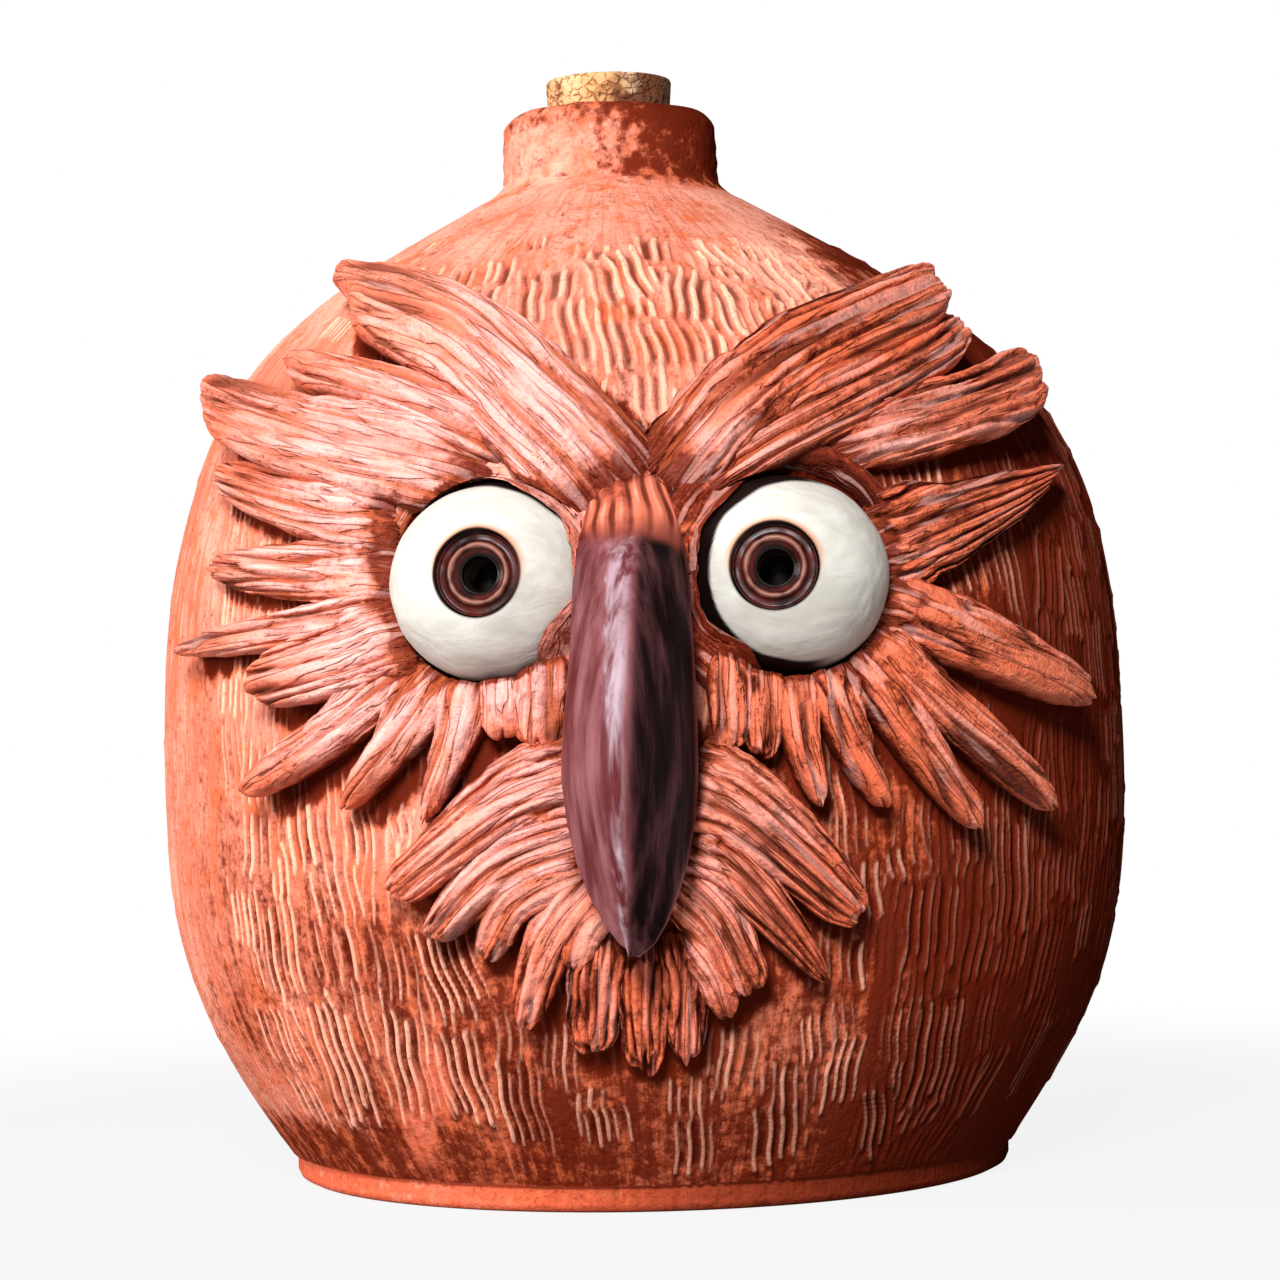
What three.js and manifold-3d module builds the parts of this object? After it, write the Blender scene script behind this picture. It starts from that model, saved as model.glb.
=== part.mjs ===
// Owl jug: a thrown stoneware bottle with a cork, and an owl's face built up on its front
// from separate pieces of clay. Millimetres, +Z up. The face looks along -Y, and the origin
// is the centre of the foot's underside. Left and right are the viewer's, so left is -X.

import * as THREE from "three";
import { mergeVertices } from "three/addons/utils/BufferGeometryUtils.js";
import Module from "manifold-3d";

const wasm = await Module();
wasm.setup();

// Vessel wall, from the foot up to the neck. A pull is how far the wall holds a slope.
const FOOT_RADIUS = 64.6;
const FOOT_BEVEL = 1.6;
const FOOT_BAND = 4.7;
const FOOT_STEP = 1;
const FLARE_ANGLE = 55;
const FLARE_PULL = 31;
const BELLY_RADIUS = 87;
const BELLY_HEIGHT = 75;
const BELLY_PULL_DOWN = 33;
const BELLY_PULL_UP = 68;
const SHOULDER_RISE = 100;
const SHOULDER_ANGLE = 30.5;
const SHOULDER_PULL = 46;
const WALL = 6.5;
const FLOOR = 9;

// Neck, its bore and its cork
const BORE_RADIUS = 11.4;
const BORE_ROUND = 1.2;
const NECK_WALL = 8.2;
const NECK_LENGTH = 17;
const NECK_FILLET = 5.4;
const NECK_LEAN = -3.5;
const LEAN_LENGTH = 58;
const LIP_ROUND = 4.6;
const CORK_LENGTH = 20;
const CORK_PROUD = 6.4;
const CORK_TAPER = 3;
const CORK_BEVEL = 0.6;

// The face's size sets its eyes, its beak and its feathers, so that they keep together
const FACE_SIZE = 100;

// Eyes: a white ball in a clay rim, with a ringed iris let into its front
const EYE_ACROSS = 0.234 * FACE_SIZE;
const EYE_RISE = 0.287 * FACE_SIZE;
const EYE_RADIUS = 0.163 * FACE_SIZE;
const EYE_SINK = 0.025 * FACE_SIZE;
const GAZE_UP = 5;
const LEFT_GAZE = -8;
const RIGHT_GAZE = -1;
const EYE_RIM_WIDTH = 0.064 * FACE_SIZE;
const EYE_RIM_HEIGHT = 0.036 * FACE_SIZE;
const PUPIL_RADIUS = 0.029 * FACE_SIZE;
const PUPIL_DEPTH = 0.07 * FACE_SIZE;
const IRIS_INNER_RING = 0.017 * FACE_SIZE;
const IRIS_OUTER_RING = 0.021 * FACE_SIZE;
const IRIS_DEPTH = 0.026 * FACE_SIZE;
const IRIS_SINK = 0.009 * FACE_SIZE;
const IRIS_GROOVE = 0.008 * FACE_SIZE;

// Beak: a keeled hook that leaves the wall near its tip
const BEAK_RISE = 0.173 * FACE_SIZE;
const BEAK_LENGTH = 0.77 * FACE_SIZE;
const BEAK_SHIFT = -0.012 * FACE_SIZE;
const BEAK_HALF_WIDTH = 0.094 * FACE_SIZE;
const BEAK_CREST = 0.23 * FACE_SIZE;
const BEAK_TIP_CREST = 0.15 * FACE_SIZE;
const BEAK_WIDE_SHARE = 0.4;
const BEAK_CREST_SHARE = 0.65;
const BEAK_HOOK_SHARE = 0.72;
const BEAK_ROOT_POWER = 0.35;
const BEAK_TIP_POWER = 0.65;
const BEAK_CREST_POWER = 0.8;
const BEAK_KEEL = 0.5;
const BEAK_KEEL_SHIFT = -0.012 * FACE_SIZE;
const BEAK_SEAT = 0.03 * FACE_SIZE;

// Clay pieces are laid this far clear of each other and of the wall
const CLEARANCE = 0.3;
const EYE_GAP = 0.7;
const SEAT_SHARE = 0.2;
const SECTION_POWER = 0.75;
const TAPER_POWER = 1.5;
const TINY = 1e-6;

// Facets
const BODY_SIDES = 48;
const WALL_STEPS = 9;
const INNER_STEPS = 5;
const ROUND_STEPS = 3;
const FEATHER_SIDES = 8;
const FEATHER_RINGS = 9;
const BALL_SIDES = 24;
const BALL_RINGS = 12;
const BEAK_SIDES = 12;
const BEAK_RINGS = 13;

// Feathers, in hundredths of the face's size: path points are [outwards, upwards] from the anchor,
// then the width at the root, the thickness and how far the tip lifts off. Last come the tip's
// share of the width and how blunt the ends are.
const BROWS = {
  left: {
    upper: feather([[2, 12], [14, 25], [28, 38.5], [48, 45.5]], 22, 9.5, 3.5, 0.55, 5),
    middle: feather([[18, 21], [38, 29.5], [61.5, 36]], 12, 8.5, 2.5, 0.5, 3),
    lower: feather([[22, 17], [50, 22.5], [82, 30]], 17, 8.5, 5, 0.6, 5),
  },
  right: {
    upper: feather([[3.5, 15], [16, 26.5], [30, 35], [56, 44]], 15, 9.5, 5, 0.75, 5),
    middle: feather([[6, 13], [25, 23.5], [47, 33], [61, 38.5]], 12, 8.5, 3, 0.6, 4),
    lower: feather([[30, 20], [54, 25], [76, 30.5]], 10.5, 8.5, 5, 1.2, 4),
  },
};
const CHEEKS = {
  left: {
    temple_feather_1: feather([[16, 11], [30, 12.5], [60, 20]], 15, 6.5, 1.5, 0.4, 3),
    temple_feather_2: feather([[16, 2], [32, 2.5], [60, 4.5]], 13.5, 6, 0.5, 0.4, 3),
    temple_feather_3: feather([[15, -4], [34, -6.5], [70, -9.5]], 9, 6, 2.5, 0.4, 2.2),
    cheek_feather_1: feather([[14, -8.5], [25, -12], [43.5, -16]], 14.5, 8, 2.5, 0.6, 4),
    cheek_feather_2: feather([[13, -12], [27.5, -23], [45.5, -33]], 10.5, 7.5, 3.5, 0.6, 3),
    cheek_feather_3: feather([[9, -14], [15.5, -24], [25, -35.5]], 12, 7.5, 3, 0.35, 3),
    cheek_feather_4: feather([[4, -15], [6, -24.5], [11, -37.5]], 10, 7, 2.5, 0.35, 3),
    undereye_feather_1: feather([[-1.5, -14.5], [-1.5, -24.5]], 7.5, 6.5, 1, 0.8, 4),
    undereye_feather_2: feather([[-8, -11.5], [-7.5, -26]], 9, 7, 1, 0.85, 4),
  },
  right: {
    temple_feather_1: feather([[15, 3.5], [27, 7], [58, 16.5]], 22, 7, 1.5, 0.12, 2.5),
    cheek_feather_1: feather([[15, -4], [29.5, -10], [60.5, -20.5]], 12, 7.5, 2.5, 0.6, 3),
    cheek_feather_2: feather([[13.5, -9], [24, -20], [47.5, -38]], 11, 7.5, 3.5, 0.65, 3),
    cheek_feather_3: feather([[10.5, -12], [17.5, -23], [31, -41]], 11, 7.5, 3.5, 0.55, 3),
    cheek_feather_4: feather([[6, -14], [8, -23.5], [14, -37]], 10.5, 7.5, 2.5, 0.4, 3),
    cheek_feather_5: feather([[1, -15], [1, -25.5], [3.5, -36.5]], 8.5, 7, 2, 0.4, 3),
    undereye_feather_1: feather([[-4.5, -14], [-5, -28.5]], 7, 6.5, 1, 0.8, 3),
    undereye_feather_2: feather([[-9.5, -11], [-10, -27.5]], 7.5, 6.5, 1, 0.75, 3),
  },
};
const MUZZLE = {
  left: {
    muzzle_feather_1: feather([[7, 30], [20, 25.5], [39.5, 11]], 16, 8.5, 2, 0.45, 4),
    muzzle_feather_2: feather([[7, 20], [21.5, 15], [33.5, 4]], 12, 8, 2, 0.55, 3),
    muzzle_feather_3: feather([[8, 15], [20, 9.5], [25, 1]], 8, 7, 1.5, 0.75, 3),
    muzzle_feather_4: feather([[6, 14], [15, 3], [19, -9.5]], 9.5, 7, 2, 0.6, 3),
    muzzle_feather_5: feather([[4, 10], [9.5, 5], [11.5, -1]], 7, 6.5, 1.5, 0.8, 3),
  },
  right: {
    muzzle_feather_1: feather([[6, 28], [15.5, 22.5], [32.5, 6]], 17, 8.5, 2, 0.5, 4),
    muzzle_feather_2: feather([[5, 19], [13.5, 13.5], [27, -3.5]], 12, 8, 1.5, 0.35, 3),
    muzzle_feather_3: feather([[4, 12], [10.5, 5], [15, -5]], 10.5, 7.5, 1.5, 0.75, 4),
    muzzle_feather_4: feather([[5, 4], [10, -3], [12, -9]], 7, 6.5, 1, 0.7, 3),
  },
};
const BIB = {
  bib_feather_left: feather([[-7.5, 4], [-9, -15]], 10.5, 6, 0.5, 0.7, 3),
  bib_feather_centre: feather([[-1, 2], [-1, -17]], 9, 6, 0.5, 0.7, 3),
  bib_feather_right: feather([[5.5, 4], [5.5, -15.5]], 8.5, 7, 0.5, 0.7, 3),
};

function feather(path, width, thick, lift, tip, blunt) {
  const unit = FACE_SIZE / 100;
  return {
    path: path.map((point) => point.map((part) => part * unit)),
    width: width * unit,
    thick: thick * unit,
    lift: lift * unit,
    tip,
    blunt,
  };
}

const { degToRad, lerp, smoothstep } = THREE.MathUtils;
const at = (radius, height) => new THREE.Vector2(radius, height);
const neckRadius = BORE_RADIUS + NECK_WALL;
const neckBase = BELLY_HEIGHT + SHOULDER_RISE;
const rimHeight = neckBase + NECK_LENGTH;
const eyeUp = BELLY_HEIGHT + EYE_RISE;
const beakTop = eyeUp + BEAK_RISE;
const beakTip = beakTop - BEAK_LENGTH;
const ridgeRadius = PUPIL_RADIUS + IRIS_INNER_RING;
const irisRadius = ridgeRadius + IRIS_OUTER_RING;

// The wall's outer line as two curves of (radius, height), from the foot to the belly and to the neck.
const flare = at(Math.cos(degToRad(FLARE_ANGLE)), Math.sin(degToRad(FLARE_ANGLE)));
const shoulder = at(Math.cos(degToRad(SHOULDER_ANGLE)), -Math.sin(degToRad(SHOULDER_ANGLE)));
const wallStart = at(FOOT_RADIUS + FOOT_STEP, FOOT_BAND);
const belly = at(BELLY_RADIUS, BELLY_HEIGHT);
const neckStart = at(neckRadius + NECK_FILLET, neckBase);
const lowerWall = new THREE.CubicBezierCurve(
  wallStart,
  wallStart.clone().addScaledVector(flare, FLARE_PULL),
  at(BELLY_RADIUS, BELLY_HEIGHT - BELLY_PULL_DOWN),
  belly,
);
const upperWall = new THREE.CubicBezierCurve(
  belly,
  at(BELLY_RADIUS, BELLY_HEIGHT + BELLY_PULL_UP),
  neckStart.clone().addScaledVector(shoulder, SHOULDER_PULL),
  neckStart,
);

// The outward normal of a wall curve that climbs.
function outwards(curve, share) {
  const along = curve.getTangent(share);
  return at(along.y, -along.x);
}

// Points of both wall curves, each moved out by a distance (or in, if that is negative).
function wallPoints(distance, steps) {
  const points = [];
  for (const curve of [lowerWall, upperWall]) {
    for (let step = curve === lowerWall ? 0 : 1; step <= steps; step++) {
      const share = step / steps;
      points.push(curve.getPoint(share).addScaledVector(outwards(curve, share), distance));
    }
  }
  return points;
}

// Where the wall is at a height: its radius and its outward normal.
function wallAt(height) {
  const curve = height < BELLY_HEIGHT ? lowerWall : upperWall;
  let low = 0;
  let high = 1;
  while (high - low > TINY) {
    const middle = (low + high) / 2;
    if (curve.getPoint(middle).y < height) low = middle;
    else high = middle;
  }
  return { radius: curve.getPoint(low).x, normal: outwards(curve, low) };
}

// How far the neck's lean carries the vessel sideways at a height.
function leanAt(height) {
  return NECK_LEAN * smoothstep(height, neckBase - LEAN_LENGTH, neckBase);
}

// A point over the vessel's skin: millimetres round from the front, height, and lift off the wall.
function overSkin(across, up, lift) {
  const { radius, normal } = wallAt(up);
  const reach = radius + lift * normal.x;
  const turn = across / radius;
  const height = up + lift * normal.y;
  return new THREE.Vector3(reach * Math.sin(turn) + leanAt(up), -reach * Math.cos(turn), height);
}

// A closed geometry as a solid, with its faces turned outwards.
function solidOf(geometry) {
  const bare = geometry.clone();
  bare.deleteAttribute("normal");
  bare.deleteAttribute("uv");
  const merged = mergeVertices(bare, 1e-4);
  const corners = Array.from(merged.index.array);
  const build = (order) => {
    const triangles = [];
    for (let i = 0; i < corners.length; i += 3) {
      const [a, b, c] = order.map((k) => corners[i + k]);
      if (a !== b && b !== c && c !== a) triangles.push(a, b, c);
    }
    return new wasm.Manifold(
      new wasm.Mesh({
        numProp: 3,
        vertProperties: merged.attributes.position.array,
        triVerts: new Uint32Array(triangles),
      }),
    );
  };
  const solid = build([0, 1, 2]);
  return solid.volume() > 0 ? solid : build([0, 2, 1]);
}

function geometryOf(solid) {
  const mesh = solid.getMesh();
  const geometry = new THREE.BufferGeometry();
  geometry.setAttribute("position", new THREE.BufferAttribute(mesh.vertProperties, 3));
  geometry.setIndex(new THREE.BufferAttribute(mesh.triVerts, 1));
  geometry.computeVertexNormals();
  return geometry;
}

// What is left of a solid after the cutters, without any crumbs.
function trimmed(solid, cutters) {
  let left = solid;
  for (const cutter of cutters) left = left.subtract(cutter);
  return left.decompose().reduce((best, piece) => (piece.volume() > best.volume() ? piece : best));
}

// A solid of revolution about Z from (radius, height) points.
function turned(points, sides) {
  return new THREE.LatheGeometry(points, sides).rotateX(Math.PI / 2);
}

// Points of a quarter round between two (radius, height) points, bulging towards a corner.
function quarterRound(from, corner, to) {
  return new THREE.QuadraticBezierCurve(from, corner, to).getPoints(ROUND_STEPS);
}

function leaned(geometry) {
  const places = geometry.attributes.position;
  for (let i = 0; i < places.count; i++) places.setX(i, places.getX(i) + leanAt(places.getZ(i)));
  return geometry;
}

// The hollow vessel: foot, wall, neck, lip, bore and inner wall.
function vesselGeometry() {
  const fits = (point) => point.y > FLOOR && point.y < neckBase && point.x > BORE_RADIUS;
  const inside = wallPoints(-WALL, INNER_STEPS).filter(fits);
  const neckRoot = quarterRound(neckStart, at(neckRadius, neckBase), at(neckRadius, neckBase + NECK_FILLET));
  const lip = quarterRound(
    at(neckRadius, rimHeight - LIP_ROUND),
    at(neckRadius, rimHeight),
    at(neckRadius - LIP_ROUND, rimHeight),
  );
  const line = [
    at(0, 0),
    at(FOOT_RADIUS - FOOT_BEVEL, 0),
    at(FOOT_RADIUS, FOOT_BEVEL),
    at(FOOT_RADIUS, FOOT_BAND),
    ...wallPoints(0, WALL_STEPS),
    ...neckRoot.slice(1),
    ...lip,
    at(BORE_RADIUS + BORE_ROUND, rimHeight),
    at(BORE_RADIUS, rimHeight - BORE_ROUND),
    at(BORE_RADIUS, neckBase),
    ...inside.toReversed(),
    at(inside[0].x - WALL, FLOOR),
    at(0, FLOOR),
  ];
  return leaned(turned(line, BODY_SIDES));
}

// The vessel's skin as a filled solid, grown by the clearance, to trim what is laid on it.
function skinCutter() {
  const points = wallPoints(CLEARANCE, WALL_STEPS);
  const line = [at(0, points[0].y), ...points, at(0, points.at(-1).y)];
  return solidOf(leaned(turned(line, BODY_SIDES)));
}

// The tapered cork, standing on its own base.
function corkGeometry() {
  const depth = CORK_LENGTH - CORK_PROUD;
  const slope = CORK_TAPER / 2 / CORK_LENGTH;
  const radiusAt = (height) => BORE_RADIUS - CLEARANCE + (height - depth) * slope;
  return turned(
    [
      at(0, 0),
      at(radiusAt(0) - CORK_BEVEL, 0),
      at(radiusAt(0), CORK_BEVEL),
      at(radiusAt(CORK_LENGTH), CORK_LENGTH - CORK_BEVEL),
      at(radiusAt(CORK_LENGTH) - CORK_BEVEL, CORK_LENGTH),
      at(0, CORK_LENGTH),
    ],
    BALL_SIDES,
  );
}

// Pushes a round section's coordinate outwards, towards a soft-cornered box.
function squared(part) {
  return Math.sign(part) * Math.abs(part) ** SECTION_POWER;
}

// A feather: a ball drawn out along a line on the skin, flattened, tapered and lifted at its tip.
function featherSolid({ path, width, thick, lift, tip, blunt }, anchor, grow) {
  const line = new THREE.SplineCurve(
    path.map(([out, rise]) => new THREE.Vector2(anchor.across + anchor.side * out, anchor.up + rise)),
  );
  const shape = new THREE.SphereGeometry(1, FEATHER_SIDES, FEATHER_RINGS);
  const places = shape.attributes.position;
  for (let i = 0; i < places.count; i++) {
    const ring = Math.hypot(places.getX(i), places.getZ(i));
    const atEnd = ring < TINY;
    const sideways = atEnd ? 0 : squared(places.getX(i) / ring);
    const upwards = atEnd ? 0 : squared(places.getZ(i) / ring);
    const share = (1 - places.getY(i)) / 2;
    const rounding = atEnd ? 0 : (1 - Math.abs(2 * share - 1) ** blunt) ** (1 / blunt);
    const halfWidth = (width / 2) * lerp(1, tip, share ** TAPER_POWER) * rounding + grow;
    const halfThick = (thick / 2) * rounding + grow;
    const tangent = line.getTangent(share);
    const spot = line.getPoint(share).addScaledVector(tangent, grow * (2 * share - 1));
    const height = thick * SEAT_SHARE + lift * share ** 2 + upwards * halfThick;
    const place = overSkin(
      spot.x - tangent.y * sideways * halfWidth,
      spot.y + tangent.x * sideways * halfWidth,
      height,
    );
    places.setXYZ(i, place.x, place.y, place.z);
  }
  return solidOf(shape);
}

// How full the beak is at a share of its length, from nothing at its ends to 1 where it is fullest.
function fullness(share, fullest, power) {
  const away = share < fullest ? 1 - share / fullest : (share - fullest) / (1 - fullest);
  return Math.max(0, 1 - away ** 2) ** power;
}

// The beak: a ball drawn down the front of the jug, keeled in front and lifted off at its tip.
function beakSolid(grow) {
  const shape = new THREE.SphereGeometry(1, BEAK_SIDES, BEAK_RINGS);
  const places = shape.attributes.position;
  for (let i = 0; i < places.count; i++) {
    const ring = Math.hypot(places.getX(i), places.getZ(i));
    const sideways = ring < TINY ? 0 : places.getX(i) / ring;
    const forwards = ring < TINY ? 0 : places.getZ(i) / ring;
    const share = (1 - places.getY(i)) / 2;
    const drop = Math.max(0, (share - BEAK_CREST_SHARE) / (1 - BEAK_CREST_SHARE)) ** 2;
    const rise = share < BEAK_CREST_SHARE ? fullness(share, BEAK_CREST_SHARE, BEAK_CREST_POWER) : 1;
    const crest = lerp(BEAK_CREST * rise, BEAK_TIP_CREST, drop);
    const hook = smoothstep(share, BEAK_HOOK_SHARE, 1);
    const under = lerp(-BEAK_SEAT, BEAK_TIP_CREST, hook);
    const keel = 1 - BEAK_KEEL * Math.max(0, forwards);
    const taper = share < BEAK_WIDE_SHARE ? BEAK_ROOT_POWER : BEAK_TIP_POWER;
    const halfWidth = BEAK_HALF_WIDTH * fullness(share, BEAK_WIDE_SHARE, taper) * keel;
    const keelShift = BEAK_KEEL_SHIFT * Math.max(0, forwards);
    const across = BEAK_SHIFT + keelShift + sideways * (halfWidth + grow);
    const lift = lerp(under - grow, crest + grow, (1 + forwards) / 2);
    const up = lerp(beakTop + grow, beakTip - grow, share);
    const place = overSkin(across, up, lift);
    places.setXYZ(i, place.x, place.y, place.z);
  }
  return solidOf(shape);
}

// The clay rim that an eye sits in: a ring bent onto the skin.
function eyeRimSolid(eye, grow) {
  const middle = EYE_RADIUS + EYE_GAP;
  const shape = new THREE.TorusGeometry(middle, EYE_RIM_WIDTH / 2 + grow, FEATHER_SIDES, BALL_SIDES);
  const places = shape.attributes.position;
  const squat = EYE_RIM_HEIGHT / (EYE_RIM_WIDTH / 2);
  for (let i = 0; i < places.count; i++) {
    const lift = places.getZ(i) > 0 ? places.getZ(i) * squat : places.getZ(i);
    const place = overSkin(eye.across + places.getX(i), eye.up + places.getY(i), lift);
    places.setXYZ(i, place.x, place.y, place.z);
  }
  return solidOf(shape);
}

// An eye's place on the skin, and the frame that turns +Z to its gaze.
function eyeFrame(side, gaze) {
  const across = side * EYE_ACROSS;
  const turn = new THREE.Euler(Math.PI / 2 - degToRad(GAZE_UP), 0, degToRad(gaze), "ZXY");
  return { side, across, up: eyeUp, centre: overSkin(across, eyeUp, -EYE_SINK), turn };
}

function inEyeFrame(geometry, eye) {
  const frame = new THREE.Matrix4().makeRotationFromEuler(eye.turn).setPosition(eye.centre);
  return geometry.applyMatrix4(frame);
}

function eyeBall(eye, grow) {
  const ball = new THREE.SphereGeometry(EYE_RADIUS + grow, BALL_SIDES, BALL_RINGS);
  return solidOf(inEyeFrame(ball.rotateX(Math.PI / 2), eye));
}

// How far the iris's back lies in front of the eye's centre.
const irisSeat = Math.sqrt(EYE_RADIUS ** 2 - irisRadius ** 2) - IRIS_SINK - IRIS_DEPTH;

// The seat for the iris in the front of the ball, with the pupil's hole behind it.
function irisCutter(eye) {
  const seat = irisSeat - CLEARANCE;
  const seatRadius = irisRadius + CLEARANCE;
  const beyond = EYE_RADIUS + IRIS_DEPTH;
  const line = [
    at(0, irisSeat - PUPIL_DEPTH),
    at(PUPIL_RADIUS, irisSeat - PUPIL_DEPTH),
    at(PUPIL_RADIUS, seat),
    at(seatRadius, seat),
    at(seatRadius, beyond),
    at(0, beyond),
  ];
  return solidOf(inEyeFrame(turned(line, BALL_SIDES), eye));
}

// The iris: a ring with a groove, a ridge and the pupil's hole.
function irisGeometry() {
  const groove = IRIS_DEPTH - IRIS_GROOVE;
  const grooveRadius = (irisRadius + ridgeRadius) / 2;
  return turned(
    [
      at(PUPIL_RADIUS, 0),
      at(irisRadius, 0),
      at(irisRadius, IRIS_DEPTH),
      at(grooveRadius, groove),
      at(ridgeRadius, IRIS_DEPTH),
      at(PUPIL_RADIUS, groove),
      at(PUPIL_RADIUS, 0),
    ],
    BALL_SIDES,
  );
}

const clay = () => new THREE.MeshStandardMaterial({ color: 0xb5623f, roughness: 0.75, metalness: 0 });
const washedClay = () => new THREE.MeshStandardMaterial({ color: 0x9c4e34, roughness: 0.7, metalness: 0 });
const whiteSlip = () => new THREE.MeshStandardMaterial({ color: 0xece5d6, roughness: 0.45, metalness: 0 });
const brownGlaze = () => new THREE.MeshStandardMaterial({ color: 0x4a1f16, roughness: 0.25, metalness: 0 });
const beakGlaze = () => new THREE.MeshStandardMaterial({ color: 0x43161a, roughness: 0.15, metalness: 0 });
const corkGrain = () => new THREE.MeshStandardMaterial({ color: 0xc8935c, roughness: 0.9, metalness: 0 });

function named(name, geometry, material) {
  const mesh = new THREE.Mesh(geometry, material);
  mesh.name = name;
  return mesh;
}

// Every clay piece is trimmed by the skin and by what was laid before it.
const skin = skinCutter();
const laid = [];

function lay(name, make, material, group) {
  group.add(named(name, geometryOf(trimmed(make(0), [skin, ...laid])), material));
  laid.push(make(CLEARANCE));
}

const eyes = { left: eyeFrame(-1, LEFT_GAZE), right: eyeFrame(1, RIGHT_GAZE) };
const face = new THREE.Group();

for (const [side, eye] of Object.entries(eyes)) {
  const socket = new THREE.Group();
  const ball = trimmed(eyeBall(eye, 0), [skin, irisCutter(eye)]);
  socket.add(named(`${side}_eyeball`, geometryOf(ball), whiteSlip()));
  const iris = named(`${side}_iris`, irisGeometry(), brownGlaze());
  iris.position.copy(eye.centre);
  iris.rotation.copy(eye.turn);
  iris.translateZ(irisSeat);
  socket.add(iris);
  laid.push(eyeBall(eye, EYE_GAP));
  lay(`${side}_eye_rim`, (grow) => eyeRimSolid(eye, grow), washedClay(), socket);
  face.add(socket);
}

lay("beak", beakSolid, beakGlaze(), face);

const browAnchor = { across: 0, up: eyeUp };
const muzzleAnchor = { across: 0, up: beakTip };
for (const [side, eye] of Object.entries(eyes)) {
  const sideGroup = new THREE.Group();
  for (const [row, shape] of Object.entries(BROWS[side])) {
    const anchor = { ...browAnchor, side: eye.side };
    lay(`${side}_brow_${row}`, (grow) => featherSolid(shape, anchor, grow), washedClay(), sideGroup);
  }
  for (const [row, shape] of Object.entries(CHEEKS[side])) {
    lay(`${side}_${row}`, (grow) => featherSolid(shape, eye, grow), washedClay(), sideGroup);
  }
  for (const [row, shape] of Object.entries(MUZZLE[side])) {
    const anchor = { ...muzzleAnchor, side: eye.side };
    lay(`${side}_${row}`, (grow) => featherSolid(shape, anchor, grow), washedClay(), sideGroup);
  }
  face.add(sideGroup);
}
for (const [row, shape] of Object.entries(BIB)) {
  lay(row, (grow) => featherSolid(shape, { ...muzzleAnchor, side: 1 }, grow), washedClay(), face);
}

const vessel = new THREE.Group();
vessel.add(named("jug_body", vesselGeometry(), clay()));
const cork = named("cork_stopper", corkGeometry(), corkGrain());
cork.position.set(leanAt(rimHeight), 0, rimHeight + CORK_PROUD - CORK_LENGTH);
vessel.add(cork);

const owlJug = new THREE.Group();
owlJug.add(vessel, face);

export default owlJug;
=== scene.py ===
import itertools
import math

import bmesh
import bpy
import numpy as np
from mathutils import Matrix, Vector


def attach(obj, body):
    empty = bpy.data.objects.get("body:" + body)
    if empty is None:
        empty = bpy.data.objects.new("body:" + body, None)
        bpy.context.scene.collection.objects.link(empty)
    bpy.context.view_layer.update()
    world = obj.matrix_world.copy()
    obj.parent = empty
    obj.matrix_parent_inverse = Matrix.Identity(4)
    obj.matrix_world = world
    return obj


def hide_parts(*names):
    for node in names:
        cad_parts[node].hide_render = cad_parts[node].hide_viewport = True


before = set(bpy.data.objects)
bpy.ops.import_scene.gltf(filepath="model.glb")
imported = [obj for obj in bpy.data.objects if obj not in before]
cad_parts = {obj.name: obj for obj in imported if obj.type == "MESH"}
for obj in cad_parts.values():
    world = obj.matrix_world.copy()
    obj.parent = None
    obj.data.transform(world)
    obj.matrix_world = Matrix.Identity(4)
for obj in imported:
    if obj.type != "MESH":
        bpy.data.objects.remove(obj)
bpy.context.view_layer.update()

mm = 0.001
tau = 2 * math.pi
sameSpot = 1e-7  # metres
atPole = 1e-4
lumpCells = 32

# the thrown wall, in millimetres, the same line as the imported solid
jug = {
    "footRadius": 64.6, "footBevel": 1.6, "footBand": 4.7, "footStep": 1.0,
    "flareAngle": 55, "flarePull": 31,
    "bellyRadius": 87, "bellyHeight": 75, "pullDown": 33, "pullUp": 68,
    "neckBase": 175, "shoulderAngle": 30.5, "shoulderPull": 46,
    "wall": 6.5, "floor": 9,
    "columns": 1700, "rowStep": 1.0, "lineSteps": (700, 1100),
    "joins": (27, 72, 117, 149),  # heights where the wall's pieces meet
}
neck = {
    "bore": 11.4, "boreRound": 1.6, "radius": 19.6, "rim": 192, "fillet": 5.4, "bend": 2.5,
    "filletHeight": 5, "lean": -3.5, "leanLength": 58, "lipRound": 4.6, "columns": 288,
}


def bezier(corners, steps):
    share = np.linspace(0, 1, steps)[:, None]
    left = 1 - share
    a, b, c, d = np.array(corners, float)
    return left**3 * a + 3 * left**2 * share * b + 3 * left * share**2 * c + share**3 * d


def slope(angle, pull):
    return np.array((math.cos(math.radians(angle)), math.sin(math.radians(angle)))) * pull


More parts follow.
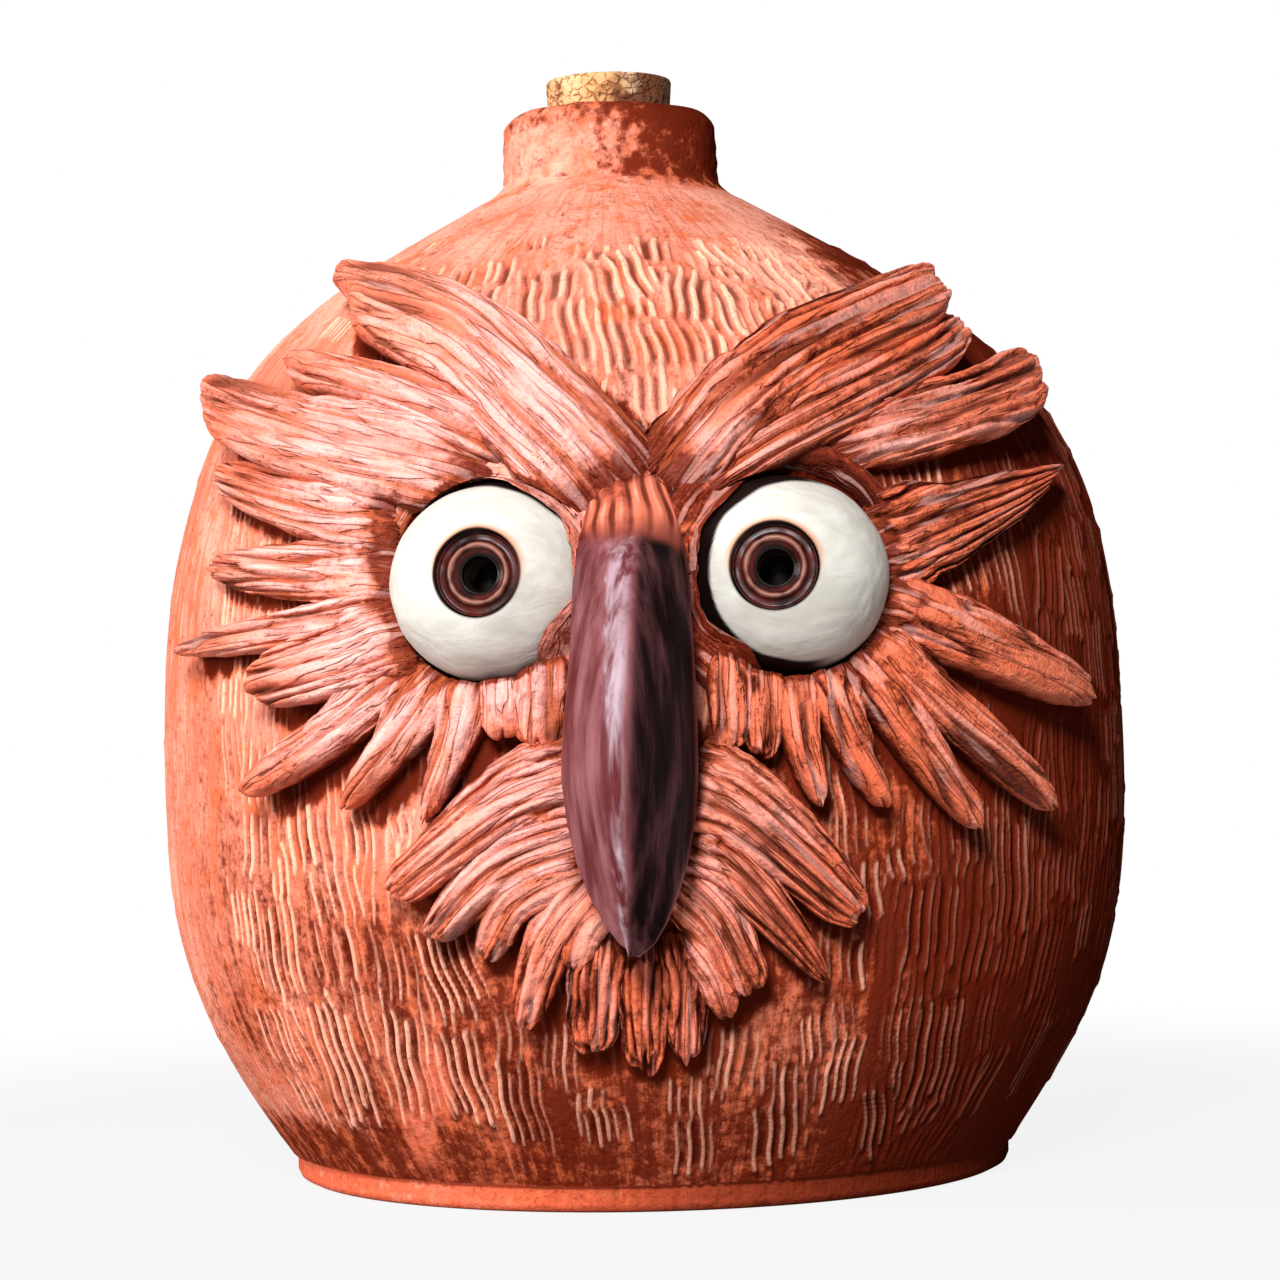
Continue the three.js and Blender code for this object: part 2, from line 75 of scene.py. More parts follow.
wallStart = np.array((jug["footRadius"] + jug["footStep"], jug["footBand"]))
bellyPoint = np.array((jug["bellyRadius"], jug["bellyHeight"]))
neckStart = np.array((neck["radius"] + neck["fillet"], jug["neckBase"]))
lowerWall = bezier((
    wallStart,
    wallStart + slope(jug["flareAngle"], jug["flarePull"]),
    bellyPoint - (0, jug["pullDown"]),
    bellyPoint,
), jug["lineSteps"][0])
upperWall = bezier((
    bellyPoint,
    bellyPoint + (0, jug["pullUp"]),
    neckStart + slope(-jug["shoulderAngle"], jug["shoulderPull"]),
    neckStart,
), jug["lineSteps"][1])
wallLine = np.vstack((lowerWall[:-1], upperWall))
lineRadius, lineHeight = wallLine.T
lineLength = np.concatenate(([0], np.cumsum(np.hypot(*np.diff(wallLine, axis=0).T))))
lineAlong = np.gradient(wallLine, axis=0)
lineAlong /= np.linalg.norm(lineAlong, axis=1)[:, None]


def wallAt(up):
    along = [np.interp(up, lineHeight, part) for part in lineAlong.T]
    return np.interp(up, lineHeight, lineRadius), along[1], -along[0]


def smooth(value, low, high):
    share = np.clip((value - low) / (high - low), 0, 1)
    return share * share * (3 - 2 * share)


def leanAt(up):
    return neck["lean"] * smooth(up, jug["neckBase"] - neck["leanLength"], jug["neckBase"])


# a point over the skin: millimetres round from the front, height, and lift off the wall
def overSkin(across, up, lift):
    radius, outR, outZ = wallAt(up)
    reach = radius + lift * outR
    turn = across / radius
    return np.stack((reach * np.sin(turn) + leanAt(up), -reach * np.cos(turn), up + lift * outZ), axis=-1)


# soft random lumps from -1 to 1, on a lattice of the given size
def lumps(points, size, seed):
    table = np.random.default_rng(seed).uniform(-1, 1, (lumpCells,) * 3)
    cell = np.asarray(points) / size
    base = np.floor(cell).astype(int)
    part = cell - base
    part = part * part * (3 - 2 * part)
    total = np.zeros(len(base))
    for corner in itertools.product((0, 1), repeat=3):
        weight = np.prod(np.where(np.array(corner) == 1, part, 1 - part), axis=1)
        spot = (base + corner) % lumpCells
        total += weight * table[spot[:, 0], spot[:, 1], spot[:, 2]]
    return total


# shader maths: a Signal wraps a socket, a Paint fills one node tree
def mathNode(operation, swapped=False):
    def joined(self, other):
        pair = (other, self) if swapped else (self, other)
        return self.paint.add("ShaderNodeMath", {"operation": operation}, dict(enumerate(pair)))
    return joined


class Signal:
    __add__, __radd__ = mathNode("ADD"), mathNode("ADD", True)
    __sub__, __rsub__ = mathNode("SUBTRACT"), mathNode("SUBTRACT", True)
    __mul__, __rmul__ = mathNode("MULTIPLY"), mathNode("MULTIPLY", True)

    def __init__(self, paint, socket):
        self.paint = paint
        self.socket = socket

    # rises softly from 0 to 1 as the value goes from low to high
    def between(self, low, high):
        inputs = {0: self, 1: low, 2: high, 3: 0.0, 4: 1.0}
        return self.paint.add("ShaderNodeMapRange", {"interpolation_type": "SMOOTHSTEP"}, inputs)


class Paint:
    def __init__(self, holder):  # a new material or world
        holder.use_nodes = True
        self.holder = holder
        self.tree = holder.node_tree
        self.tree.nodes.clear()

    # one node: its settings first, then the values or links of its sockets
    def add(self, kind, settings=None, inputs=None, output=0):
        node = self.tree.nodes.new(kind)
        for key, value in (settings or {}).items():
            setattr(node, key, value)
        for key, value in (inputs or {}).items():
            if isinstance(value, Signal):
                self.tree.links.new(value.socket, node.inputs[key])
            else:
                node.inputs[key].default_value = value
        return Signal(self, node.outputs[output]) if node.outputs else None

    def place(self, stretch):
        spot = self.add("ShaderNodeTexCoord", output=3)
        return self.add("ShaderNodeMapping", {}, {"Vector": spot, "Scale": stretch})

    def noise(self, scale, detail, rough, spot=None, twist=0):
        inputs = {"Scale": scale, "Detail": detail, "Roughness": rough, "Distortion": twist}
        return self.add("ShaderNodeTexNoise", {}, {"Vector": spot or self.place((1, 1, 1)), **inputs})

    # what the mesh carries: a value, or a vector from output 1
    def carried(self, name, output=2):
        return self.add("ShaderNodeAttribute", {"attribute_name": name}, {}, output)

    def mix(self, share, first, second):
        return self.add("ShaderNodeMix", {"data_type": "RGBA"}, {0: share, 6: first, 7: second}, output=2)

    # a colour under layers, each a share and a colour of its own
    def layered(self, colour, *layers):
        for share, layer in layers:
            colour = self.mix(share, colour, layer)
        return colour

    def bump(self, height, distance, strength):
        return self.add("ShaderNodeBump", {}, {"Height": height, "Distance": distance, "Strength": strength})

    def finish(self, colour, rough, relief, gloss):
        inputs = {"Base Color": colour, "Roughness": rough, "Normal": relief, "Specular IOR Level": gloss}
        shader = self.add("ShaderNodeBsdfPrincipled", {}, inputs)
        self.add("ShaderNodeOutputMaterial", {}, {"Surface": shader})
        return self.holder


def newPaint(name):
    return Paint(bpy.data.materials.new(name))


# a colour as it looks on screen, 0 to 255, as the linear values that the sockets take
def shade(red, green, blue):
    parts = [part / 255 for part in (red, green, blue)]
    return tuple(part / 12.92 if part < 0.04045 else ((part + 0.055) / 1.055) ** 2.4 for part in parts) + (1,)


# finishes
# the darkest tints serve dark wash and painted shade alike; pink and crest give rosy clay its painted sheen and
# pale ridges
clayTints = {
    "light": shade(238, 160, 138), "mid": shade(208, 110, 84), "rust": shade(212, 102, 60),
    "wash_and_shade": shade(94, 20, 6), "groove": shade(62, 11, 3), "ridge": shade(248, 180, 152),
    "stain": shade(150, 58, 34), "pink": shade(238, 172, 168), "crest": shade(250, 198, 188),
    "ember": shade(218, 100, 62), "foot": shade(228, 102, 68), "vein": shade(176, 84, 50),
}
# scale, detail and roughness of the clay's noises
clayNoises = {"broad": (34, 3, 0.55), "blotch": (150, 5, 0.68), "fleck": (480, 4, 0.7), "speck": (1300, 2, 0.6)}
clayGrain = (700, 1.5, 0.5)
# scale of the streaks, strength of pale ridges and of specks, height of the bumps, roughness and gloss
clayLooks = {
    "body": {"streaks": 380, "pale": 0.92, "specks": 0.4, "bumps": 0.0004, "rough": 0.56, "gloss": 0.0},
    "washed": {"streaks": 520, "pale": 0.4, "specks": 0.25, "bumps": 0.0007, "rough": 0.44, "gloss": 0.08},
}


# the mesh carries dark wash with painted shade in it, combed ridges (half is plain), bare clay on the body and
# rosy clay with painted sheen on the feathers
def clayPaint(name, kind):
    paint, tint, look = newPaint(name), clayTints, clayLooks[kind]
    ridge, wash_and_shade = paint.carried("ridge"), paint.carried("wash_and_shade")
    broad, blotch, fleck, speck = [paint.noise(*noise) for noise in clayNoises.values()]
    streak = paint.noise(look["streaks"], 4, 0.65, paint.carried("flow", 1))  # drawn out along the comb's way
    colour = paint.layered(
        tint["mid"],
        ((broad * 0.5 + streak * 0.5).between(0.38, 0.62), tint["light"]),
        (blotch.between(0.5, 0.66) * 0.75, tint["rust"]),
    )
    coarse, groove, crest = 0.8, tint["groove"], tint["ridge"]
    if kind == "washed":
        rosy_sheen = paint.carried("rosy_sheen")
        plain = 1 - rosy_sheen.between(0.1, 0.5)
        # painted sheen: pinkish dabs on rosy clay, which lies mostly on the lit left side and at the roots
        sheen = (streak * 0.5 + blotch * 0.5 + rosy_sheen * 0.2).between(0.5, 0.66)
        pink = sheen * (1 - wash_and_shade * 0.7) * rosy_sheen
        colour = paint.layered(colour, (plain * 0.75, tint["ember"]), (pink, tint["pink"]))
        coarse = 0.8 + 0.35 * plain
        groove = paint.mix(plain, tint["vein"], tint["groove"])
        # on rosy clay the pale ridges take a pinkish-white painted highlight
        crest = paint.mix(plain, tint["crest"], tint["ember"])
    # dark mottling, stronger where the mesh carries dark wash and painted shade
    dark = (fleck * coarse + streak * (1.6 - coarse) + wash_and_shade * 0.75).between(0.86, 1.22)
    hollow = 1 - ridge.between(0.08, 0.47)
    pale = (ridge + fleck * 0.3).between(0.74, 1.05) * (1 - 0.85 * wash_and_shade.between(0.15, 0.95))
    colour = paint.layered(
        colour,
        (wash_and_shade.between(0.08, 0.5) * 0.75, tint["rust"]),
        (dark * 0.92, paint.mix(dark, tint["stain"], tint["wash_and_shade"])),
        (hollow * 0.85, groove),
        (pale * look["pale"], crest),
    )
    relief = fleck + streak * 0.7 + speck * 0.4
    if kind == "washed":  # fine cracks along the grain
        grain = paint.noise(*clayGrain, paint.carried("flow", 1))
        offMiddle = paint.add("ShaderNodeMath", {"operation": "ABSOLUTE"}, {0: grain - 0.5})
        crack = (1 - offMiddle.between(0.006, 0.045)) * blotch.between(0.36, 0.5)
        fibre = grain.between(0.56, 0.63) * 0.25
        colour = paint.layered(colour, (crack * (0.35 - 0.15 * plain), groove), (fibre, tint["crest"]))
        relief = relief - crack * 0.8
    else:
        bare = paint.carried("bare") * fleck.between(0.2, 0.55)
        # more groove tint where the wash is heavy, deepening the painted shade on the right side
        deepWashAndShade = wash_and_shade.between(0.35, 0.9) * 0.35
        colour = paint.layered(colour, (deepWashAndShade, groove), (bare, tint["foot"]))
    colour = paint.mix(speck.between(0.56, 0.7) * look["specks"], colour, tint["wash_and_shade"])
    rough = look["rough"] + 0.24 * fleck
    return paint.finish(colour, rough, paint.bump(relief, look["bumps"], 0.9), look["gloss"])


def slipPaint():
    paint = newPaint("white_slip_brushed")
    stroke = paint.noise(220, 4, 0.6, paint.place((0.35, 1, 1)), 0.6)
    fleck = paint.noise(70, 3, 0.6)
    colour = paint.layered(
        shade(190, 185, 175),
        (stroke.between(0.3, 0.7), shade(208, 204, 196)),
        (fleck.between(0.58, 0.78) * 0.35, shade(205, 194, 170)),
        (paint.carried("halo"), shade(196, 118, 62)),
        # near-black: partly dark wash and partly painted shade in the gap round the white, and painted shade in
        # the pupil's hole
        (paint.carried("wash_and_shade"), shade(14, 5, 4)),
    )
    return paint.finish(colour, 0.42 + 0.2 * fleck, paint.bump(stroke, 0.0004, 0.7), 0.08)


def irisPaint():
    paint = newPaint("brown_glaze_pooled")
    ridge = paint.carried("ridge")
    pool = paint.noise(260, 3, 0.6)
    colour = paint.layered(
        shade(30, 7, 5),
        (pool.between(0.35, 0.7), shade(74, 18, 12)),
        (ridge.between(0.55, 0.95), shade(142, 94, 80)),
        # painted shade: near-black round the pupil's hole
        (1 - ridge.between(0.02, 0.2), shade(8, 3, 2)),
    )
    return paint.finish(colour, 0.24 + 0.2 * pool, paint.bump(pool, 0.0002, 0.5), 0.2)


def beakPaint():
    paint = newPaint("beak_glaze_brushed")
    glazed, ridge = paint.carried("glaze"), paint.carried("ridge")
    streak = paint.noise(300, 4, 0.6, paint.place((1, 1, 0.12)))
    pool = paint.noise(90, 4, 0.6)
    glaze = paint.layered(
        shade(84, 32, 34),
        (streak.between(0.3, 0.7), shade(136, 84, 88)),
        (pool.between(0.5, 0.75) * 0.5, shade(92, 22, 20)),
        # painted shade: the right facet near-black
        (paint.carried("right_facet_shade") * (1 - 0.3 * streak.between(0.4, 0.7)), shade(12, 1, 2)),
        # painted highlight: a pale bluish strip along the keel, where the glaze reflects the lamps
        (paint.carried("painted_highlight") * streak.between(0.38, 0.6) * 0.7, shade(204, 194, 208)),
    )
    clay = paint.layered(
        clayTints["wash_and_shade"],
        (pool.between(0.3, 0.55), clayTints["mid"]),
        ((1 - ridge.between(0.12, 0.48)) * 0.85, clayTints["groove"]),
        (ridge.between(0.7, 1.0) * 0.4, clayTints["ridge"]),
        (paint.carried("wash_and_shade") * 0.7, shade(84, 30, 32)),
    )
    rough = 0.6 - 0.34 * glazed + 0.12 * streak
    return paint.finish(paint.mix(glazed, clay, glaze), rough, paint.bump(streak + pool * 0.5, 0.0003, 0.5), 0.04)


def corkPaint():
    paint = newPaint("cork_grain")
    grain = paint.noise(420, 4, 0.7)
    band = paint.noise(160, 3, 0.6, paint.place((1, 1, 0.4)))
    cells = {"Vector": paint.place((1, 1, 1.3)), "Scale": 520, "Randomness": 1}
    edge = paint.add("ShaderNodeTexVoronoi", {"feature": "DISTANCE_TO_EDGE"}, cells)
    crack = 1 - (edge + grain * 0.9).between(0.38, 0.6)
    colour = paint.layered(
        shade(222, 160, 108),
        (band.between(0.35, 0.7), shade(250, 214, 170)),
        (crack * 0.8, shade(128, 66, 30)),
        # dark pits, and painted shade on the right side
        (paint.carried("pits_and_shade") * 0.94, shade(92, 44, 22)),
    )
    return paint.finish(colour, 0.85, paint.bump(grain - crack, 0.0004, 0.8), 0.2)


paints = {  # by material slot
    "body_clay": clayPaint("body_clay_combed", "body"), "washed_clay": clayPaint("washed_clay_combed", "washed"),
    "white_slip": slipPaint(), "brown_glaze": irisPaint(), "beak_glaze": beakPaint(), "cork": corkPaint(),
}
print("finishes made:", len(paints))


# making pieces
def placesOf(bm):
    return np.array([vert.co for vert in bm.verts]) / mm


def moveTo(bm, places):
    for vert, place in zip(bm.verts, places * mm):
        vert.co = place


def fromAxis(places):
    return np.hypot(places[:, 0], places[:, 1])


# a line of radius and height spun round the axis: a grid rolled up
def spun(points, columns, closed=False):
    line = np.array([*points, points[0]] if closed else points)
    bm = bmesh.new()
    bmesh.ops.create_grid(bm, x_segments=columns, y_segments=len(line) - 1, size=0.5)
    grid = placesOf(bm) * mm + 0.5
    radius, height = line[np.round(grid[:, 1] * (len(line) - 1)).astype(int)].T
    turn = np.mod(np.round(grid[:, 0] * columns), columns) * tau / columns
    moveTo(bm, np.column_stack((radius * np.cos(turn), radius * np.sin(turn), height)))
    bmesh.ops.remove_doubles(bm, verts=bm.verts, dist=sameSpot)
    return bm


# the finished piece: outward faces, its attributes and finish, what it rides on and stands for
def finishPiece(bm, name, slot, node, carried, body="jug", sharp=None):
    bmesh.ops.recalc_face_normals(bm, faces=bm.faces)
    mesh = bpy.data.meshes.new(name)
    bm.to_mesh(mesh)
    bm.free()
    for key, values in carried.items():
        values = np.asarray(values, np.float32)
        kind, field = ("FLOAT_VECTOR", "vector") if values.ndim == 2 else ("FLOAT", "value")
        mesh.attributes.new(key, kind, "POINT").data.foreach_set(field, values.ravel())
    mesh.shade_smooth()
    if sharp is not None:  # edges between two sharp points are not shaded over
        ends = np.zeros(2 * len(mesh.edges), np.int32)
        mesh.edges.foreach_get("vertices", ends)
        sharpEdge = np.asarray(sharp)[ends.reshape(-1, 2)].all(axis=1)
        mesh.attributes.new("sharp_edge", "BOOLEAN", "EDGE").data.foreach_set("value", sharpEdge)
    mesh.materials.append(paints[slot])
    piece = bpy.data.objects.new(name, mesh)
    bpy.context.scene.collection.objects.link(piece)
    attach(piece, body)
    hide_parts(node)


# eyes: places and frames
eyes = {
    "radius": 16.3, "sink": 2.5, "across": 23.4, "up": 103.7, "gazeUp": 5, "gaze": {"left": -12, "right": -5},
    "gap": 0.7, "rimWidth": 6.4, "rimHeight": {"left": 1.8, "right": 2.6}, "rimInner": 18.1, "rimShare": 0.66,
    "rimClear": 0.4, "rimWashAndShade": {"left": (0.2, 0.6), "right": (0.64, 0.15)},  # least wash and painted shade (the right rim darker), and rosy clay with painted sheen (the left rim lighter)
    "pupil": 2.9, "pupilDepth": 7, "ridge": 4.6, "iris": 6.7, "irisDepth": 2.6, "irisSink": 0.9,
    "groove": 0.8, "joint": 0.3, "domeEnd": 97, "halo": 0.75,
    # clay pressed in over the white: angle round the eye, how far in, spread in degrees
    "lids": {
        "left": ((0, 4.2, 30), (-44, 4.4, 22), (58, 4.2, 30), (100, 1.6, 24)),
        "right": ((180, 3.2, 34), (-124, 3.4, 24), (132, 2.6, 26), (90, 0.8, 30)),
    },
    # where the white ends, seen from the front: middle, radius, and how far the dome bulges outwards
    "white": {"left": (-2.2, 0, 15.2, 1.2), "right": (2.8, 0.65, 14.2, 1.2)},
}
sides = {"left": -1, "right": 1}
eyeCentre = {
    key: overSkin(np.array(sign * eyes["across"]), np.array(eyes["up"]), -eyes["sink"])
    for key, sign in sides.items()
}


def eyeFrame(key):
    tilt = Matrix.Rotation(math.pi / 2 - math.radians(eyes["gazeUp"]), 3, "X")
    turn = Matrix.Rotation(math.radians(eyes["gaze"][key]), 3, "Z")
    return np.array(turn @ tilt)


# clay laid over an eye lies on its dome
def offEyes(places, gap):
    for centre in eyeCentre.values():
        away = places - centre
        far = np.linalg.norm(away, axis=1)
        reach = eyes["radius"] + gap
        inside = (far < reach) & (far > 1)
        places[inside] = centre + away[inside] * (reach / far[inside])[:, None]
    return places


# feathers: path from the anchor, width, thickness, lift, tip share, bluntness, torn strands and
# their depth, grooves of the comb
browRows = {
    "left_brow_upper": ([(2, 12), (14, 25), (28, 38.5), (48, 45.5)], 22, 9.5, 3.5, 0.55, 5, 8, 0.45, 5),
    "left_brow_middle": ([(18, 21), (38, 29.5), (61.5, 36)], 12, 8.5, 2.5, 0.5, 3, 6, 0.7, 0),
    "left_brow_lower": ([(22, 17), (50, 22.5), (82, 30)], 17, 8.5, 5, 0.6, 5, 8, 0.7, 4),
    "right_brow_upper": ([(3.5, 15), (16, 26.5), (30, 35), (56, 44)], 15, 9.5, 5, 0.75, 5, 6, 0.95, 6),
    "right_brow_middle": ([(6, 13), (25, 23.5), (47, 33), (61, 38.5)], 12, 8.5, 3, 0.6, 4, 5, 0.8, 4),
    "right_brow_lower": ([(30, 20), (54, 25), (76, 30.5)], 10.5, 8.5, 5, 1.2, 4, 6, 0.75, 4),
}
cheekRows = {
    "left_temple_feather_1": ([(16, 11), (30, 12.5), (60, 20)], 15, 6.5, 1.5, 0.4, 3, 6, 0.6, 4),
    "left_temple_feather_2": ([(16, 2), (32, 2.5), (60, 4.5)], 13.5, 6, 0.5, 0.4, 3, 6, 0.6, 0),
    "left_temple_feather_3": ([(15, -4), (34, -6.5), (70, -9.5)], 9, 6, 2.5, 0.4, 2.2, 4, 0.6, 0),
    "left_cheek_feather_1": ([(14, -8.5), (25, -12), (43.5, -16)], 14.5, 8, 2.5, 0.6, 4, 6, 0.7, 0),
    "left_cheek_feather_2": ([(13, -12), (27.5, -23), (45.5, -33)], 10.5, 7.5, 3.5, 0.6, 3, 4, 0.5, 0),
    "left_cheek_feather_3": ([(9, -14), (15.5, -24), (25, -35.5)], 12, 7.5, 3, 0.35, 3, 5, 0.65, 0),
    "left_cheek_feather_4": ([(4, -15), (6, -24.5), (11, -37.5)], 10, 7, 2.5, 0.35, 3, 4, 0.65, 0),
    "left_undereye_feather_1": ([(-1.5, -14.5), (-1.5, -24.5)], 7.5, 6.5, 1, 0.8, 4, 3, 0.55, 0),
    "left_undereye_feather_2": ([(-8, -11.5), (-7.5, -26)], 9, 7, 1, 0.85, 4, 3, 0.6, 0),
    "right_temple_feather_1": ([(15, 3.5), (27, 7), (58, 16.5)], 22, 7, 1.5, 0.12, 2.5, 9, 0.7, 7),
    "right_cheek_feather_1": ([(15, -4), (29.5, -10), (60.5, -20.5)], 12, 7.5, 2.5, 0.6, 3, 5, 0.65, 0),
    "right_cheek_feather_2": ([(13.5, -9), (24, -20), (47.5, -38)], 11, 7.5, 3.5, 0.65, 3, 4, 0.6, 0),
    "right_cheek_feather_3": ([(10.5, -12), (17.5, -23), (31, -41)], 11, 7.5, 3.5, 0.55, 3, 4, 0.65, 0),
    "right_cheek_feather_4": ([(6, -14), (8, -23.5), (14, -37)], 10.5, 7.5, 2.5, 0.4, 3, 4, 0.65, 0),
    "right_cheek_feather_5": ([(1, -15), (1, -25.5), (3.5, -36.5)], 8.5, 7, 2, 0.4, 3, 4, 0.65, 0),
    "right_undereye_feather_1": ([(-4.5, -14), (-5, -28.5)], 7, 6.5, 1, 0.8, 3, 3, 0.6, 0),
    "right_undereye_feather_2": ([(-9.5, -11), (-10, -27.5)], 7.5, 6.5, 1, 0.75, 3, 3, 0.6, 0),
}
muzzleRows = {
    "left_muzzle_feather_1": ([(7, 30), (20, 25.5), (39.5, 11)], 16, 8.5, 2, 0.45, 4, 8, 0.9, 7),
    "left_muzzle_feather_2": ([(7, 20), (21.5, 15), (33.5, 4)], 12, 8, 2, 0.55, 3, 6, 0.9, 5),
    "left_muzzle_feather_3": ([(8, 15), (20, 9.5), (25, 1)], 8, 7, 1.5, 0.75, 3, 3, 0.6, 0),
    "left_muzzle_feather_4": ([(6, 14), (15, 3), (19, -9.5)], 9.5, 7, 2, 0.6, 3, 4, 0.7, 3),
    "left_muzzle_feather_5": ([(4, 10), (9.5, 5), (11.5, -1)], 7, 6.5, 1.5, 0.8, 3, 3, 0.7, 0),
    "right_muzzle_feather_1": ([(6, 28), (15.5, 22.5), (32.5, 6)], 17, 8.5, 2, 0.5, 4, 8, 0.85, 7),
    "right_muzzle_feather_2": ([(5, 19), (13.5, 13.5), (27, -3.5)], 12, 8, 1.5, 0.35, 3, 6, 0.85, 5),
    "right_muzzle_feather_3": ([(4, 12), (10.5, 5), (15, -5)], 10.5, 7.5, 1.5, 0.75, 4, 5, 0.8, 4),
    "right_muzzle_feather_4": ([(5, 4), (10, -3), (12, -9)], 7, 6.5, 1, 0.7, 3, 3, 0.7, 0),
}
bibRows = {
    "bib_feather_left": ([(-7.5, 4), (-9, -15)], 10.5, 6, 0.5, 0.7, 3, 5, 0.85, 6),
    "bib_feather_centre": ([(-1, 2), (-1, -17)], 9, 6, 0.5, 0.7, 3, 5, 0.85, 5),
    "bib_feather_right": ([(5.5, 4), (5.5, -15.5)], 8.5, 7, 0.5, 0.7, 3, 4, 0.9, 5),
}
beakTipUp = 44  # the muzzle and bib feathers are measured from here
feather = {
    "seatShare": 0.2, "sectionPower": 0.75, "taperPower": 1.5, "bury": 0.8, "topShare": 0.75, "flow": 0.1,
    "round": 1.15, "rows": 40, "rowsPerMm": 0.9,  # how fine the mesh is
    "rootShare": 0.28, "overEye": 1.0,
    # torn grain: what is left of it on a combed piece, the height of its parts, and its run on a brow
    "tear": 0.55, "swell": 0.8, "crack": 1.7, "split": 0.55, "browRun": 12,
    "combDepth": 1.1, "toothWidth": 0.16, "lipWidth": 0.16,
    # dark wash: plain on the left and right; dark wash and painted shade low down by the wall and where the clay
    # lies on an eye
    "stain": (0.09, 0.12), "lowWashAndShade": 0.85, "outline": 0.95, "outlineEnd": (1.3, 2.5),
    "muzzleRosySheen": 0.3,
}
# root sunk by, wash and painted shade beside an eye, slimmer by, ragged tip, wash at the tip, rosy root with
# painted sheen
featherKinds = {
    "brow": (0.5, 0, 0, 1.1, -0.2, 1), "temple": (0.25, 0.42, 0, 1.1, -0.2, 0.6),
    "cheek": (0.25, 0.24, 0.15, 1.1, -0.2, 0.6), "undereye": (0.3, 0.16, 0, 1.1, -0.2, 0.6),
    "muzzle": (0.45, 0, 0, 1.1, 0.15, 0.6), "bib": (0.35, 0, 0, 3, -0.2, 0.6),
}
# by side: run of the torn grain, strength of the comb, rosy clay with painted sheen, much more on the lit left
# side than on the shaded right
featherSides = {-1: (6, 0.65, 0.7), 1: (4, 1, 0.12)}
# how a tip departs from its round end: skew across it, and a notch, in millimetres
tipCuts = {
    "left_brow_upper": (-5, 3.5), "left_brow_lower": (-4, 1.5), "right_temple_feather_1": (4, 0),
    "right_brow_lower": (2, 0),
}
# a raised edge: on which side, and how high
lips = {"left_brow_upper": (-0.8, 1.1), "left_brow_lower": (-0.75, 0.6), "right_brow_upper": (0.75, 0.5)}
# how much a feather's outer half is slimmer than its solid, where it differs from its kind
slimmer = {"right_cheek_feather_1": -0.12, "left_cheek_feather_1": 0}
# how much darker a piece is painted, where it differs from its neighbours
darkerPieces = {
    "right_brow_upper": 0.19, "right_cheek_feather_3": 0.2, "right_cheek_feather_2": 0.08,
    "left_muzzle_feather_3": 0.16, "left_muzzle_feather_4": 0.14, "left_muzzle_feather_5": 0.14,
}
featherMarks = []  # where clay is laid, for the wash and painted shadow round it: across, up, half width


def spline(path, share):
    points = np.array(path, float)
    last = len(points) - 1
    place = np.clip(share, 0, 1) * last
    start = np.clip(np.floor(place).astype(int), 0, last - 1)
    part = (place - start)[:, None]
    before, here = points[np.maximum(start - 1, 0)], points[start]
    after, beyond = points[start + 1], points[np.minimum(start + 2, last)]
    pullA, pullB = (after - before) / 2, (beyond - here) / 2
    return ((2 * here - 2 * after + pullA + pullB) * part**3
            + (3 * after - 3 * here - 2 * pullA - pullB) * part**2 + pullA * part + here)


def squared(part):
    return np.sign(part) * np.abs(part) ** feather["sectionPower"]


# one at the middle of a mark, falling off over its width
def hump(away, width, power=2):
    return np.exp(-((away / width) ** power))


# torn clay: cracks run along the grain where two lumps of it part, with finer splits between them
def tornGrain(along, across, pitch, run, seed):
    grain = np.column_stack((along / (run * pitch), across / (0.62 * pitch), along * 0 + seed * 3.7))
    coarse = lumps(grain, 1, seed + 40)
    fine = lumps(grain * (1.8, 2.2, 1), 1, seed + 42)
    parted = smooth(lumps(grain * (0.5, 0.45, 1), 1, seed + 41), -0.55, 0.1)
    torn = smooth(lumps(grain * (0.7, 0.6, 1), 1, seed + 43), -0.2, 0.3)
    mottle = lumps(grain * (1.5, 1.2, 1), 1, seed + 44)
    return hump(coarse, 0.17) * parted, hump(fine, 0.2) * torn, np.abs(coarse) ** 0.7, mottle


